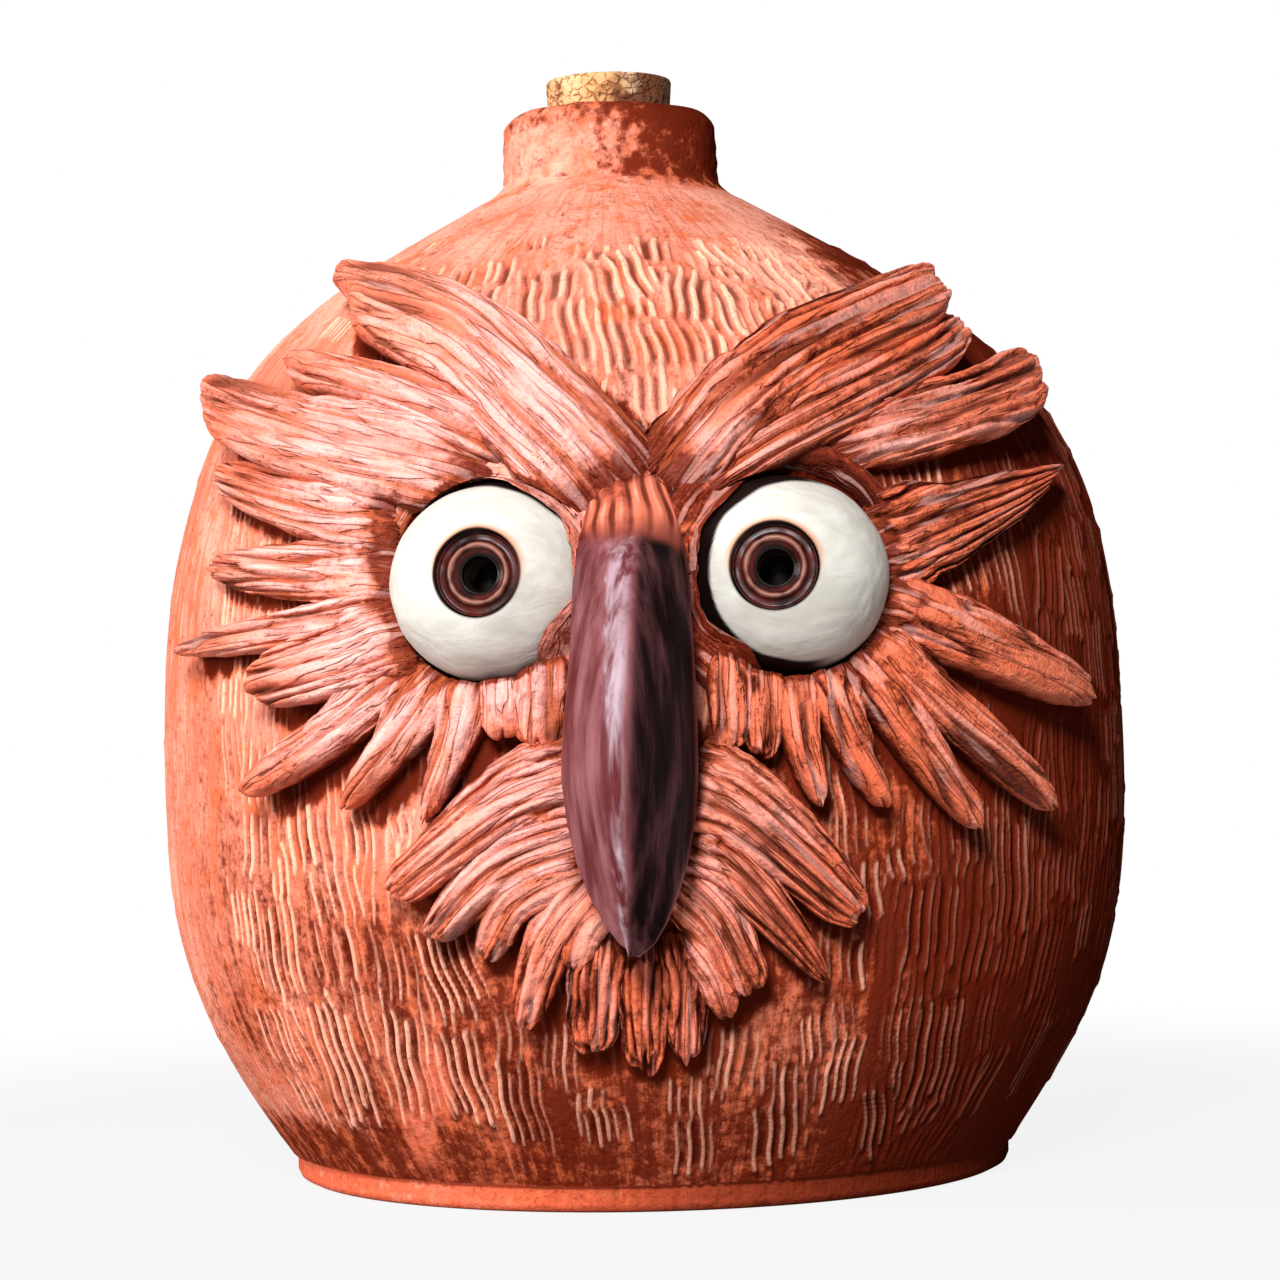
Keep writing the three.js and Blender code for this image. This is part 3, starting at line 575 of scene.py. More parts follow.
def layFeather(name, row, anchorAcross, anchorUp, side, seed):
    path, width, thick, lift, tip, blunt, teeth, depth, grooves = row
    kind = name.split("_")[0 if "bib" in name else 1]
    rootSink, eyeWashAndShade, slim, ragged, tipWash, rosySheenRoot = featherKinds[kind]
    run, combStrength, rosy_sheen = featherSides[side]
    line = [(anchorAcross + side * out, anchorUp + rise) for out, rise in path]
    reach = np.linalg.norm(np.diff(line, axis=0), axis=1).sum()

    # a ball, whose share runs from root to tip and whose section has most of its points on top
    bm = bmesh.new()
    around = 4 * round((width + thick) * feather["round"])
    rows = round(feather["rows"] + reach * feather["rowsPerMm"])
    bmesh.ops.create_uvsphere(bm, u_segments=around, v_segments=rows, radius=1)
    ball = placesOf(bm) * mm
    share = np.clip((1 - ball[:, 2]) / 2, 0, 1)
    atEnd = fromAxis(ball) < atPole
    part = np.mod(np.arctan2(ball[:, 1], ball[:, 0]) / tau, 1)
    top = feather["topShare"]
    angle = np.where(part < top, math.pi * part / top, math.pi * (1 + (part - top) / (1 - top)))
    sideways = np.where(atEnd, 0, squared(np.cos(angle)))
    upwards = np.where(atEnd, 0, squared(np.sin(angle)))
    rounding = np.where(atEnd, 0, (1 - np.abs(2 * share - 1) ** blunt).clip(0) ** (1 / blunt))

    # its line over the skin, with the tip cut
    step = 1e-4
    way = spline(line, share + step) - spline(line, share - step)
    way /= np.linalg.norm(way, axis=1)[:, None]
    along = share * reach
    spot = spline(line, share)
    wander = np.stack((share * 7 + seed, sideways * 1.3, np.zeros(len(share))), axis=1)
    skew, notch = tipCuts.get(name, (0, 0))
    torn = ragged * lumps(wander * (0.3, 2.6, 1), 1, seed + 30)
    push = (skew * sideways + notch * (sideways**2 - 0.5) + torn) * share**6 * ~atEnd
    spot += way * push[:, None]
    halfWidth = width / 2 * (1 + (tip - 1) * share ** feather["taperPower"]) * rounding
    halfWidth *= 1 + 0.08 * lumps(wander, 0.9, seed) + 0.05 * lumps(wander * (3, 1, 1), 1, seed + 11)
    halfWidth *= 1 - slimmer.get(name, slim) * smooth(share, 0.25, 0.6)

    # its height: roots smeared down into the wall, torn and combed on top
    onUpper = upwards > 0
    height = thick * feather["seatShare"] + lift * share**2 + upwards * thick / 2 * rounding
    height -= rootSink * thick * (1 - smooth(share, 0, feather["rootShare"])) * onUpper
    onTop = smooth(upwards, 0.1, 0.6) * smooth(share, 0, 0.04) * (1 - 0.7 * smooth(share, 0.86, 0.99))
    run = feather["browRun"] if kind == "brow" else run
    tear = feather["tear"] if grooves else 1
    crack, split, swell, mottle = tornGrain(along, sideways * halfWidth, width / teeth, run, seed)
    phase = (sideways * 0.5 + 0.5) * grooves + 0.55 * lumps(wander * (0.5, 0.6, 1), 1, seed + 51)
    cut = hump(np.mod(phase, 1) - 0.5, feather["toothWidth"]) * onTop * smooth(share, 0.04, 0.2)
    cut *= combStrength * (grooves > 0)
    tornHeight = feather["swell"] * swell - feather["crack"] * crack - feather["split"] * split
    height = height + onTop * depth * tear * tornHeight - feather["combDepth"] * cut
    flute = lumps(wander * (0.35, 2.2, 1), 1, seed + 7) * (0.25 + 0.02 * width)
    grain = np.column_stack((along, sideways * halfWidth * 1.4, share * 0 + seed * 9))
    clots = 0.3 * lumps(grain, 3.1, seed + 8) + 0.22 * lumps(grain, 1.1, seed + 12)
    height += (flute * rounding + clots) * onUpper
    if name in lips:
        lipSide, lipRise = lips[name]
        height += lipRise * hump(sideways - lipSide, feather["lipWidth"]) * smooth(share, 0.1, 0.5) * onUpper
    height = np.maximum(height, -feather["bury"])
    across = spot[:, 0] - way[:, 1] * sideways * halfWidth
    up = spot[:, 1] + way[:, 0] * sideways * halfWidth
    places = offEyes(overSkin(across, up, height), feather["overEye"])
    moveTo(bm, places)

    # its wash with painted shade, its rosy sheen, and colours
    toEye = np.min([np.linalg.norm(places - centre, axis=1) for centre in eyeCentre.values()], axis=0)
    # painted shade, with dark wash, where the clay lies over the gap round an eye
    outline = feather["outline"] * (1 - smooth(toEye - eyes["radius"], *feather["outlineEnd"]))
    stain = darkerPieces.get(name, feather["stain"][0 if side < 0 or kind == "muzzle" else 1])
    wash_and_shade = stain * (1 + 1.8 * mottle) + eyeWashAndShade * (1 - smooth(share, 0.06, 0.3))
    # painted shade on the low sides where the clay meets the wall
    wash_and_shade += feather["lowWashAndShade"] * (1 - smooth(height, 0.8, 0.7 * thick)) + tipWash * smooth(share, 0.6, 1)
    raised = 0.5 * smooth(swell, 0.35, 0.9) * (1 - split) - 0.5 * crack - 0.22 * split
    # muzzle pieces on the right and the darker lower ones on the left share one amount of painted sheen
    if kind == "muzzle" and (side > 0 or name in darkerPieces):
        rosy_sheen = feather["muzzleRosySheen"]
    finishPiece(bm, name + "_combed", "washed_clay", name, {
        "ridge": (0.5 + onTop * tear * raised - 0.45 * cut).clip(0, 1),
        "wash_and_shade": np.maximum(outline, wash_and_shade).clip(0, 1),
        "rosy_sheen": np.maximum(rosy_sheen, rosySheenRoot - 2 * share) * (1 - 0.75 * smooth(share, 0.4, 0.95)),
        "flow": np.column_stack((sideways * halfWidth, along * feather["flow"], share * 0 + seed * 7)) * mm,
    })
    marks = np.linspace(0, 0.9, 12)
    spread = width / 2 * (1 + (tip - 1) * marks ** feather["taperPower"])
    featherMarks.append(np.column_stack((spline(line, marks), spread)))


seed = 0
for rows, anchorAcross, anchorUp in (
    (browRows, 0, eyes["up"]), (cheekRows, eyes["across"], eyes["up"]), (muzzleRows, 0, beakTipUp),
    (bibRows, 0, beakTipUp),
):
    for name, row in rows.items():
        seed += 1
        side = sides.get(name.split("_")[0], 1)
        layFeather(name, row, side * anchorAcross, anchorUp, side, seed)
print("feathers laid:", seed)

# comb strokes on the wall: from and to (across, height), width, teeth
combs = {
    "placed": (
        (-72.5, 69, -73.5, 55.5, 9.5, 4), (-60, 69.5, -58.5, 56.5, 11, 5), (-49.5, 68.5, -48, 57.5, 7, 4),
        (-41.5, 68, -40, 61, 5, 3), (-68.5, 54, -66, 34, 10, 5), (-51.5, 51, -49, 39, 9.5, 4),
        (-35, 49, -30, 34.5, 10.5, 6), (-59.5, 38, -53, 14.5, 13, 6), (-43, 36, -40, 14.5, 8, 4),
        (-33.5, 32, -29, 15.5, 9.5, 5), (-22.5, 27.5, -19.5, 10, 8.5, 5), (-8.5, 20, -6.5, 11.5, 8.5, 5),
        (43, 61.5, 45, 54.5, 9.5, 4), (35.5, 59, 36.5, 47, 7, 3), (50, 55.5, 48, 39, 11.5, 6),
        (66.5, 64.5, 66.5, 43, 9, 5), (34, 46, 34, 35.5, 4, 2), (51.5, 36, 48.5, 14.5, 10.5, 6),
        (39, 20.5, 39, 7, 7, 4), (20, 19, 20, 6.5, 8.5, 4), (14.5, 33.5, 13, 19.5, 8, 4),
        (7, 17.5, 6.5, 6, 7.5, 4), (27, 35, 27, 23, 6.5, 4), (-81, 91.5, -81.5, 82, 8.5, 4),
        (-71.5, 80.5, -70, 77.5, 5.5, 4), (81.5, 111.5, 80, 96, 10.5, 5),
        (-2.5, 163.8, -7.6, 158.2, 2.3, 1), (7.1, 164.2, 6.4, 157.5, 7, 3), (18.5, 158.5, 19.5, 154, 9.2, 4),
        (25.1, 163, 27.5, 157.5, 8.5, 5), (1.5, 161.2, 5, 149.5, 4.6, 2), (12, 157, 10.8, 145.5, 9.2, 4),
        (28, 151.5, 26.5, 146, 6.9, 3), (39.5, 154.5, 36, 151, 10, 6), (-13, 164.5, -13.5, 161, 4.5, 3),
        (37, 160.5, 41, 157.5, 9.5, 5),
    ),
    "groove": 0.5, "burr": 0.3, "toothShare": 0.27,  # depth and rise of a tooth's mark, and its breadth
    "placedTooth": ((120, 1.15, 0.28), (999, 1.35, 0.31)),  # up to a height: depth, breadth
    "rowGap": 11.5, "columnGap": 8.5, "stray": 4, "skip": 0.14, "seed": 11,
    "pitch": (1.6, 2.1), "length": (11, 19), "teeth": (3, 7), "depth": (0.45, 0.85), "lean": 0.16,
    # the shoulder: from which height, length and pitch shares, more lean
    "shoulder": (140, 0.55, 0.8, 0.35),
    # softer on the left flank, between two turns, and below a height at the foot; none under the neck
    "flank": (-1.9, -0.98), "footTop": 17, "soft": 0.5, "smoothFrom": 166,
    # a broad comb between the brows: heights and half width of its field, then each stroke
    "browField": (126, 162, 34), "browStrokes": (-3.4, 3.4), "browLength": (11, 17), "browLean": (-0.06, 0.18),
    "browStray": 3, "browTooth": (6.9, 3, 1.25, 0.3),
}
# rows that the wall's pieces share fall exactly on the heights where they meet
joinLengths = np.interp(jug["joins"], lineHeight, lineLength)
stops = [0, *joinLengths, lineLength[-1]]
rowLength = np.unique(np.concatenate([
    np.linspace(low, high, round((high - low) / jug["rowStep"]) + 1) for low, high in zip(stops, stops[1:])
]))
rowHeight = np.interp(rowLength, lineLength, lineHeight)
rowRadius = np.interp(rowLength, lineLength, lineRadius)
columnTurn = np.mod(np.arange(jug["columns"]) * tau / jug["columns"] + math.pi / 2 + math.pi, tau) - math.pi
gridShape = (len(rowLength), jug["columns"])
wallLift = np.zeros(gridShape)
wallRidge = np.full(gridShape, 0.5)
rng = np.random.default_rng(combs["seed"])


def combStroke(turn, length, stepTurn, stepLength, width, teeth, depth, broad=combs["toothShare"]):
    radius = np.interp(length, lineLength, lineRadius)
    run = np.array((stepTurn * radius, stepLength))
    reach = np.linalg.norm(run) / 2
    run /= 2 * reach
    span = reach + width / 2 + 3
    rows = np.nonzero(np.abs(rowLength - length) < span)[0]
    away = np.mod(columnTurn - turn + math.pi, tau) - math.pi
    columns = np.nonzero(np.abs(away) * max(radius, 20) < span * 1.3)[0]
    if not len(rows) or not len(columns):
        return
    spot = np.ix_(rows, columns)
    du = away[columns][None, :] * rowRadius[rows][:, None]
    dv = (rowLength[rows] - length)[:, None] + 0 * du
    along = du * run[0] + dv * run[1]
    across = du * run[1] - dv * run[0]
    bend = rng.uniform(-0.006, 0.006) * along**2
    across = across + bend + 0.22 * np.sin(along * 0.55 + rng.uniform(0, tau))
    pitch = width / teeth
    cell = across / pitch + teeth / 2
    tooth = np.floor(cell)
    index = np.clip(tooth + 2, 0, teeth + 3).astype(int)
    ends = rng.uniform(-0.2, 0.15, (2, teeth + 4)) * reach
    strong = rng.uniform(0.6, 1, teeth + 4)[index] * ((tooth >= 0) & (tooth < teeth))
    shift = rng.uniform(-0.16, 0.16, teeth + 4)[index]
    line = hump(cell - tooth - 0.5 + shift, broad, 4) * strong
    line *= smooth(along + reach + ends[0][index], 0, 2) * smooth(reach + ends[1][index] - along, 0, 2)
    ground = smooth(reach - np.abs(along), 0, 3.5)
    ground *= smooth(width / 2 - np.abs(across), -0.3 * pitch, 0.5 * pitch)
    lift = depth * ((combs["groove"] + combs["burr"]) * line - combs["groove"] * ground)
    wallLift[spot] = wallLift[spot] * (1 - ground) + lift
    hollow = 0.5 - 0.26 * depth * ground
    mark = hollow + (min(1, depth + 0.25) - hollow) * line
    cover = np.maximum(ground, line)
    wallRidge[spot] = wallRidge[spot] * (1 - cover) + mark * cover


fill = []
stray = combs["stray"]
for length in np.arange(7, lineLength[-1] - 5, combs["rowGap"]):
    height = np.interp(length, lineLength, lineHeight)
    radius = np.interp(length, lineLength, lineRadius)
    for turn in np.arange(0, tau, combs["columnGap"] / radius):
        moved = rng.uniform(-stray, stray) / radius
        fill.append((turn + moved, length + rng.uniform(-stray, stray), height, radius))
rng.shuffle(fill)
shoulderFrom, shorter, closer, moreLean = combs["shoulder"]
flankStart, flankEnd = combs["flank"]
lowest, highest, widest = combs["browField"]
for turn, length, height, radius in fill:
    toFront = math.remainder(turn, tau)
    onShoulder = height > shoulderFrom
    size = rng.uniform(*combs["length"]) * (shorter if onShoulder else 1)
    teeth = int(rng.integers(*combs["teeth"]))
    pitch = rng.uniform(*combs["pitch"]) * (closer if onShoulder else 1)
    depth = rng.uniform(*combs["depth"])
    depth *= combs["soft"] if flankStart < toFront < flankEnd else 1
    depth *= combs["soft"] if height < combs["footTop"] else 1
    if height > combs["smoothFrom"]:
        continue
    lean = rng.uniform(-combs["lean"], combs["lean"])
    lean += rng.uniform(-moreLean, moreLean) if onShoulder else 0
    if lowest < height < highest and abs(toFront) * radius < widest:
        for part in combs["browStrokes"]:
            size, lean = rng.uniform(*combs["browLength"]), rng.uniform(*combs["browLean"])
            middle = length + rng.uniform(-combs["browStray"], combs["browStray"])
            combStroke(toFront + part / radius, middle, lean * size / radius, -size, *combs["browTooth"])
    elif rng.random() > combs["skip"]:
        combStroke(toFront, length, lean * size / radius, -size, pitch * teeth, teeth, depth)
for fromAcross, fromUp, toAcross, toUp, width, teeth in combs["placed"]:
    ends = np.array((fromUp, toUp))
    turns = np.array((fromAcross, toAcross)) / np.interp(ends, lineHeight, lineRadius)
    lengths = np.interp(ends, lineHeight, lineLength)
    depth, broad = next(tooth[1:] for tooth in combs["placedTooth"] if fromUp <= tooth[0])
    combStroke(turns.mean(), lengths.mean(), np.diff(turns)[0], np.diff(lengths)[0], width, teeth, depth, broad)
print("comb strokes:", len(fill) + len(combs["placed"]))

# wash and painted shade over the wall: a dark band above the foot, the right side darkened by wash and painted
# shade, and wash pooled round the clay with a painted shadow below and right of it
washesAndShade = {
    "bandTop": 14.5, "bandSoft": 4, "band": 0.46,
    # the right side, darkened by wash and painted shade: the turn where it starts low and high on the wall, how
    # softly, and where it ends behind
    "sideHeights": (60, 135), "sideTurns": (0.0, 0.45), "sideSoft": 0.75, "behind": (1.7, 3.0), "side": 0.76,
    "least": 0.06, "lower": 0.52, "patches": 0.14,
    "pool": 3.2, "pooledAndShadow": 0.9, "shadowShift": (1.3, -1.5), "socket": (1, 4),
    # bare spots: across, up, half sizes
    "bare": ((-40.5, 15, 3.4, 8), (-37, 22, 3.5, 6)), "bareShare": 0.45,
}
gridTurn, gridHeight = np.meshgrid(columnTurn, rowHeight)
gridAcross = gridTurn * rowRadius[:, None]
flat = np.zeros(gridTurn.size)
ring = np.column_stack((np.sin(gridTurn).ravel(), np.cos(gridTurn).ravel(), flat)) * jug["bellyRadius"]
band = washesAndShade["bandTop"] + (2 * lumps(ring, 14, 21) + 1.6 * lumps(ring, 2.2, 22)).reshape(gridShape)
wallWashAndShade = washesAndShade["band"] * (1 - smooth(gridHeight, band - washesAndShade["bandSoft"], band + washesAndShade["bandSoft"]))
turnTo = np.interp(gridHeight, washesAndShade["sideHeights"], washesAndShade["sideTurns"])
toBack = 1 - smooth(gridTurn, *washesAndShade["behind"])
# painted shade: the right side, turned from the lamps, darker on top of its dark wash
sideWashAndShade = smooth(gridTurn, turnTo, turnTo + washesAndShade["sideSoft"]) + 0.5 * smooth(gridTurn, 0.75, 1.25)
sideWashAndShade *= toBack * (1 - smooth(gridHeight, 158, jug["neckBase"] - 1))
lower = (1 - smooth(gridHeight, 30, 85)) * smooth(gridTurn, -1.5, -0.4) * toBack
patches = washesAndShade["patches"] * lumps(ring + np.column_stack((flat, flat, gridHeight.ravel())), 15, 23)
sideWashAndShade = washesAndShade["least"] + washesAndShade["side"] * np.maximum(sideWashAndShade, washesAndShade["lower"] * lower)
wallWashAndShade = np.maximum(wallWashAndShade, sideWashAndShade + patches.reshape(gridShape))
wallBare = np.zeros(gridShape)
for across, up, halfAcross, halfUp in washesAndShade["bare"]:
    far = np.hypot((gridAcross - across) / halfAcross, (gridHeight - up) / halfUp)
    wallBare = np.maximum(wallBare, washesAndShade["bareShare"] * (1 - smooth(far, 0.6, 1.2)))
# wash pooled round the laid clay, moved down and to the right so that it also paints a cast shadow
inFront = np.abs(gridTurn) < 1.5
spotAcross = gridAcross[inFront] - washesAndShade["shadowShift"][0]
spotUp = gridHeight[inFront] - washesAndShade["shadowShift"][1]
near = np.full(len(spotUp), 99.0)
for across, up, reach in np.vstack(featherMarks):
    near = np.minimum(near, np.hypot(spotAcross - across, spotUp - up) - reach)
pooledAndShadow = np.zeros(gridShape)
pooledAndShadow[inFront] = washesAndShade["pooledAndShadow"] * (1 - smooth(near, -1, washesAndShade["pool"]))
# dark wash and painted shade in each eye socket, with groove tint close to the eye, where the gap under the rim
# lies in shade
for sign in sides.values():
    far = np.hypot(gridAcross - sign * eyes["across"], gridHeight - eyes["up"]) - eyes["radius"]
    pooledAndShadow = np.maximum(pooledAndShadow, 1 - smooth(far, *washesAndShade["socket"]))
    wallRidge = np.where(far < 3, 0.02, wallRidge)
wallWashAndShade = np.maximum(wallWashAndShade * (1 - wallBare), pooledAndShadow).clip(0, 1)


# the wall's pieces, each a closed ring of clay: foot, belly and shoulder
def innerLine(low, high, steps):
    height = np.linspace(low, high, steps)
    radius, outR, outZ = wallAt(height)
    return np.column_stack((radius - jug["wall"] * outR, height - jug["wall"] * outZ))


def wallPiece(name, low, high, before, after):
    rows = np.nonzero((rowHeight > low - 1e-6) & (rowHeight < high + 1e-6))[0]
    outer = np.column_stack((rowRadius[rows], rowHeight[rows]))
    bm = spun([*before, *outer, *after], jug["columns"], closed=not before)
    places = placesOf(bm)
    x, y, z = places.T
    radius = fromAxis(places)
    wallRadius, outR, outZ = wallAt(z)
    turn = np.arctan2(x, -y)
    row = np.abs(rowHeight[None, rows] - z[:, None]).argmin(1) + rows[0]
    column = np.mod(np.round((turn - math.pi / 2) / tau * jug["columns"]).astype(int), jug["columns"])
    onSkin = (np.abs(radius - wallRadius) < 0.02) & (np.abs(rowHeight[row] - z) < 0.01)
    lift = np.where(onSkin, wallLift[row, column] + 0.22 * lumps(places, 17, 31), 0)
    lift *= 1 - smooth(z, jug["neckBase"] - 4, jug["neckBase"] - 0.5)
    reach = radius + lift * outR
    moveTo(bm, np.column_stack((reach * np.sin(turn) + leanAt(z), -reach * np.cos(turn), z + lift * outZ)))
    # painted shade: the foot band darker and less bare towards the right side
    shadedSide = smooth(turn, -0.9, 0.75) * (1 - smooth(turn, *washesAndShade["behind"]))
    length = np.interp(z, lineHeight, lineLength)
    flow = (np.sin(turn) * jug["bellyRadius"], np.cos(turn) * jug["bellyRadius"], length * feather["flow"])
    finishPiece(bm, name, "body_clay", "jug_body", {
        "ridge": np.where(onSkin, wallRidge[row, column], 0.5),
        "wash_and_shade": np.where(onSkin, wallWashAndShade[row, column], 0.05 + 0.85 * shadedSide),
        "bare": np.where(onSkin, wallBare[row, column], 0.95 - 0.9 * shadedSide),
        "flow": np.column_stack(flow) * mm,
    }, sharp=onSkin & np.isin(row, (rows[0], rows[-1])))


foot, bevel, band = jug["footRadius"], jug["footBevel"], jug["footBand"]
footTop = jug["joins"][0]
inside = innerLine(footTop, jug["floor"] + 6, 6)
floorEdge = inside[-1][0] - 5
wallPiece(
    "jug_foot_wall", 0, footTop,
    [(0, 0), (foot * 0.5, 0), (foot - 9, 0), (foot - bevel, 0), (foot - bevel * 0.3, bevel * 0.35), (foot, bevel),
     (foot, band - 0.6), (foot + 0.4, band - 0.1)],
    [*inside, (floorEdge, jug["floor"]), (floorEdge * 0.5, jug["floor"]), (0, jug["floor"])],
)
rings = ("jug_belly_wall", "jug_cheek_wall", "jug_shoulder_wall", "jug_crown_wall")
for name, low, high in zip(rings, jug["joins"], (*jug["joins"][1:], jug["neckBase"])):
    underNeck = [(neck["bore"] + 3, jug["neckBase"])] if high == jug["neckBase"] else []
    wallPiece(name, low, high, [], [*underNeck, *innerLine(high, low, 5)])
print("wall made:", gridShape[0], "rows of", gridShape[1])


# neck: fillet, collar, rounded lip and bore
def arc(start, corner, end, steps):
    share = np.linspace(0, 1, steps)[:, None]
    start, corner, end = np.array(start), np.array(corner), np.array(end)
    return (1 - share) ** 2 * start + 2 * share * (1 - share) * corner + share**2 * end


base, rim, collar, bore = jug["neckBase"], neck["rim"], neck["radius"], neck["bore"]
lipRound, boreRound, filletTop = neck["lipRound"], neck["boreRound"], base + neck["filletHeight"]
neckLine = np.vstack((
    arc((collar + neck["fillet"], base), (collar + 0.1, base + neck["bend"]), (collar, filletTop), 11),
    np.column_stack((np.full(4, collar), np.linspace(filletTop, rim - lipRound, 6)[1:-1])),
    arc((collar, rim - lipRound), (collar, rim), (collar - lipRound, rim), 10),
    arc((bore + boreRound, rim), (bore, rim), (bore, rim - boreRound), 5),
    np.column_stack((np.full(7, bore), np.linspace(rim - 3, base, 7))),
))
bm = spun(neckLine, neck["columns"], closed=True)
places = placesOf(bm)
x, y, z = places.T
radius = fromAxis(places)
outward = places[:, :2] / radius[:, None]
free = smooth(z, base + 0.5, base + 4) * (radius > bore + 1)
throwing = 0.12 * np.sin(z * 2.1) + 0.3 * lumps(places, 7, 41) + 0.12 * lumps(places, 2.2, 42)
places[:, :2] += outward * (throwing * free)[:, None]
places[:, 2] += 0.25 * lumps(places, 5, 43) * smooth(z, rim - 2, rim)
neckWashAndShade = 0.1 + 0.05 * lumps(places, 5, 44) + 0.15 * lumps(places, 1.5, 45)
# dark wash under the lip, and painted shade darkening the neck's right side
neckWashAndShade += 0.2 * smooth(z, rim - 7, rim - 1) + 0.6 * smooth(x, -9, 20)
neckWashAndShade = washesAndShade["least"] + (neckWashAndShade - washesAndShade["least"]) * smooth(z, base, base + 4)
places[:, 0] += neck["lean"]
moveTo(bm, places)
finishPiece(bm, "jug_neck_collar", "body_clay", "jug_body", {
    "ridge": np.full(len(places), 0.5), "wash_and_shade": neckWashAndShade.clip(0, 1), "bare": np.zeros(len(places)),
    "flow": places * mm,
}, sharp=z < base + 0.01)
print("neck made")

# eyes: white dome, stamped iris and clay rim
eyeRadius = eyes["radius"]
irisSeat = math.sqrt(eyeRadius**2 - eyes["iris"] ** 2) - eyes["irisSink"] - eyes["irisDepth"]


def setEyeball(key, sign, turn):
    seatRadius, seat, hole = eyes["iris"] + eyes["joint"], irisSeat - eyes["joint"], irisSeat - eyes["pupilDepth"]
    angles = np.linspace(math.asin(seatRadius / eyeRadius), math.radians(eyes["domeEnd"]), 46)
    dome = [(eyeRadius * math.sin(angle), eyeRadius * math.cos(angle)) for angle in angles]
    endRadius, endHeight = dome[-1]
    bm = spun([
        (0, hole), (eyes["pupil"], hole), (eyes["pupil"], seat), (seatRadius, seat), *dome,
        (endRadius * 0.5, endHeight), (0, endHeight),
    ], 144)
    places = placesOf(bm)
    onDome = np.abs(np.linalg.norm(places, axis=1) - eyeRadius) < 0.05
    uneven = 1 + 0.009 * lumps(places, 5, 61 + sign) + 0.004 * lumps(places, 1.6, 63)
    places[onDome] *= uneven[onDome][:, None]
    radius = fromAxis(places)
    upper = smooth(places[:, 1] / np.maximum(radius, 1), -0.5, 0.6)
    seen = places @ turn.T
    whiteX, whiteZ, whiteRadius, bulge = eyes["white"][key]
    outer = smooth(sign * seen[:, 0], 0, 16) * smooth(radius, seatRadius + 0.5, seatRadius + 6) * onDome
    seen[:, 0] += sign * bulge * outer
    whiteEnd = np.hypot(seen[:, 0] - whiteX, seen[:, 2] - whiteZ) + 0.35 * lumps(places, 4, 64 + sign)
    # past the white's edge the dome paints near-black: dark wash and painted shade of the gap round the eye
    darkEdge = smooth(whiteEnd, whiteRadius, whiteRadius + 0.4)
    proud = seen @ (sign * 0.27, -0.96, 0) - eyes["sink"]  # off the skin: white from the side
    darkEdge *= 1 - smooth(sign * seen[:, 0], 4, 10) * smooth(proud, 1, 2)
    # painted shade in the pupil's hole and at the iris seat
    atSeat = 1 - smooth(radius, seatRadius, seatRadius + 0.35)
    halo = upper * (1 - smooth(radius, seatRadius + 0.2, seatRadius + 1.3)) * onDome
    moveTo(bm, seen + eyeCentre[key])
    finishPiece(bm, key + "_eyeball_brushed", "white_slip", key + "_eyeball", {
        "halo": eyes["halo"] * halo, "wash_and_shade": np.where(onDome, np.maximum(darkEdge, atSeat), 1.0),
    })


# a dark outer groove, a pale ridge, and the pupil's hole
def setIris(key, sign, turn):
    inner, ridgeAt, outer = eyes["pupil"], eyes["ridge"], eyes["iris"]
    across = outer + (inner - outer) * np.linspace(0, 1, 40)
    rise = eyes["irisDepth"] - eyes["groove"] * (1 - hump(across - ridgeAt, 0.55))
    rise += eyes["groove"] * 0.6 * smooth(across, outer - 0.5, outer)
    rise -= 0.5 * (1 - smooth(across, inner, inner + 0.9))
    irisLine = [(inner, 0.2), (inner + 0.2, 0), (outer - 0.2, 0), (outer, 0.2), *zip(across, rise)]
    bm = spun(irisLine, 96, closed=True)
    places = placesOf(bm)
    radius = fromAxis(places)
    places[:, 2] += 0.12 * lumps(places, 2, 71 + sign) * (places[:, 2] > 1)
    pale = hump(radius - ridgeAt, 0.62) * (0.85 + 0.3 * lumps(places, 1.1, 72))
    moveTo(bm, (places + (0, 0, irisSeat)) @ turn.T + eyeCentre[key])
    finishPiece(bm, key + "_iris_stamped", "brown_glaze", key + "_iris", {
        # the pupil's edge carries no ridge, so it takes the painted shade
        "ridge": np.where(radius < inner + 0.45, 0.0, 0.3 + 0.7 * pale),
    })


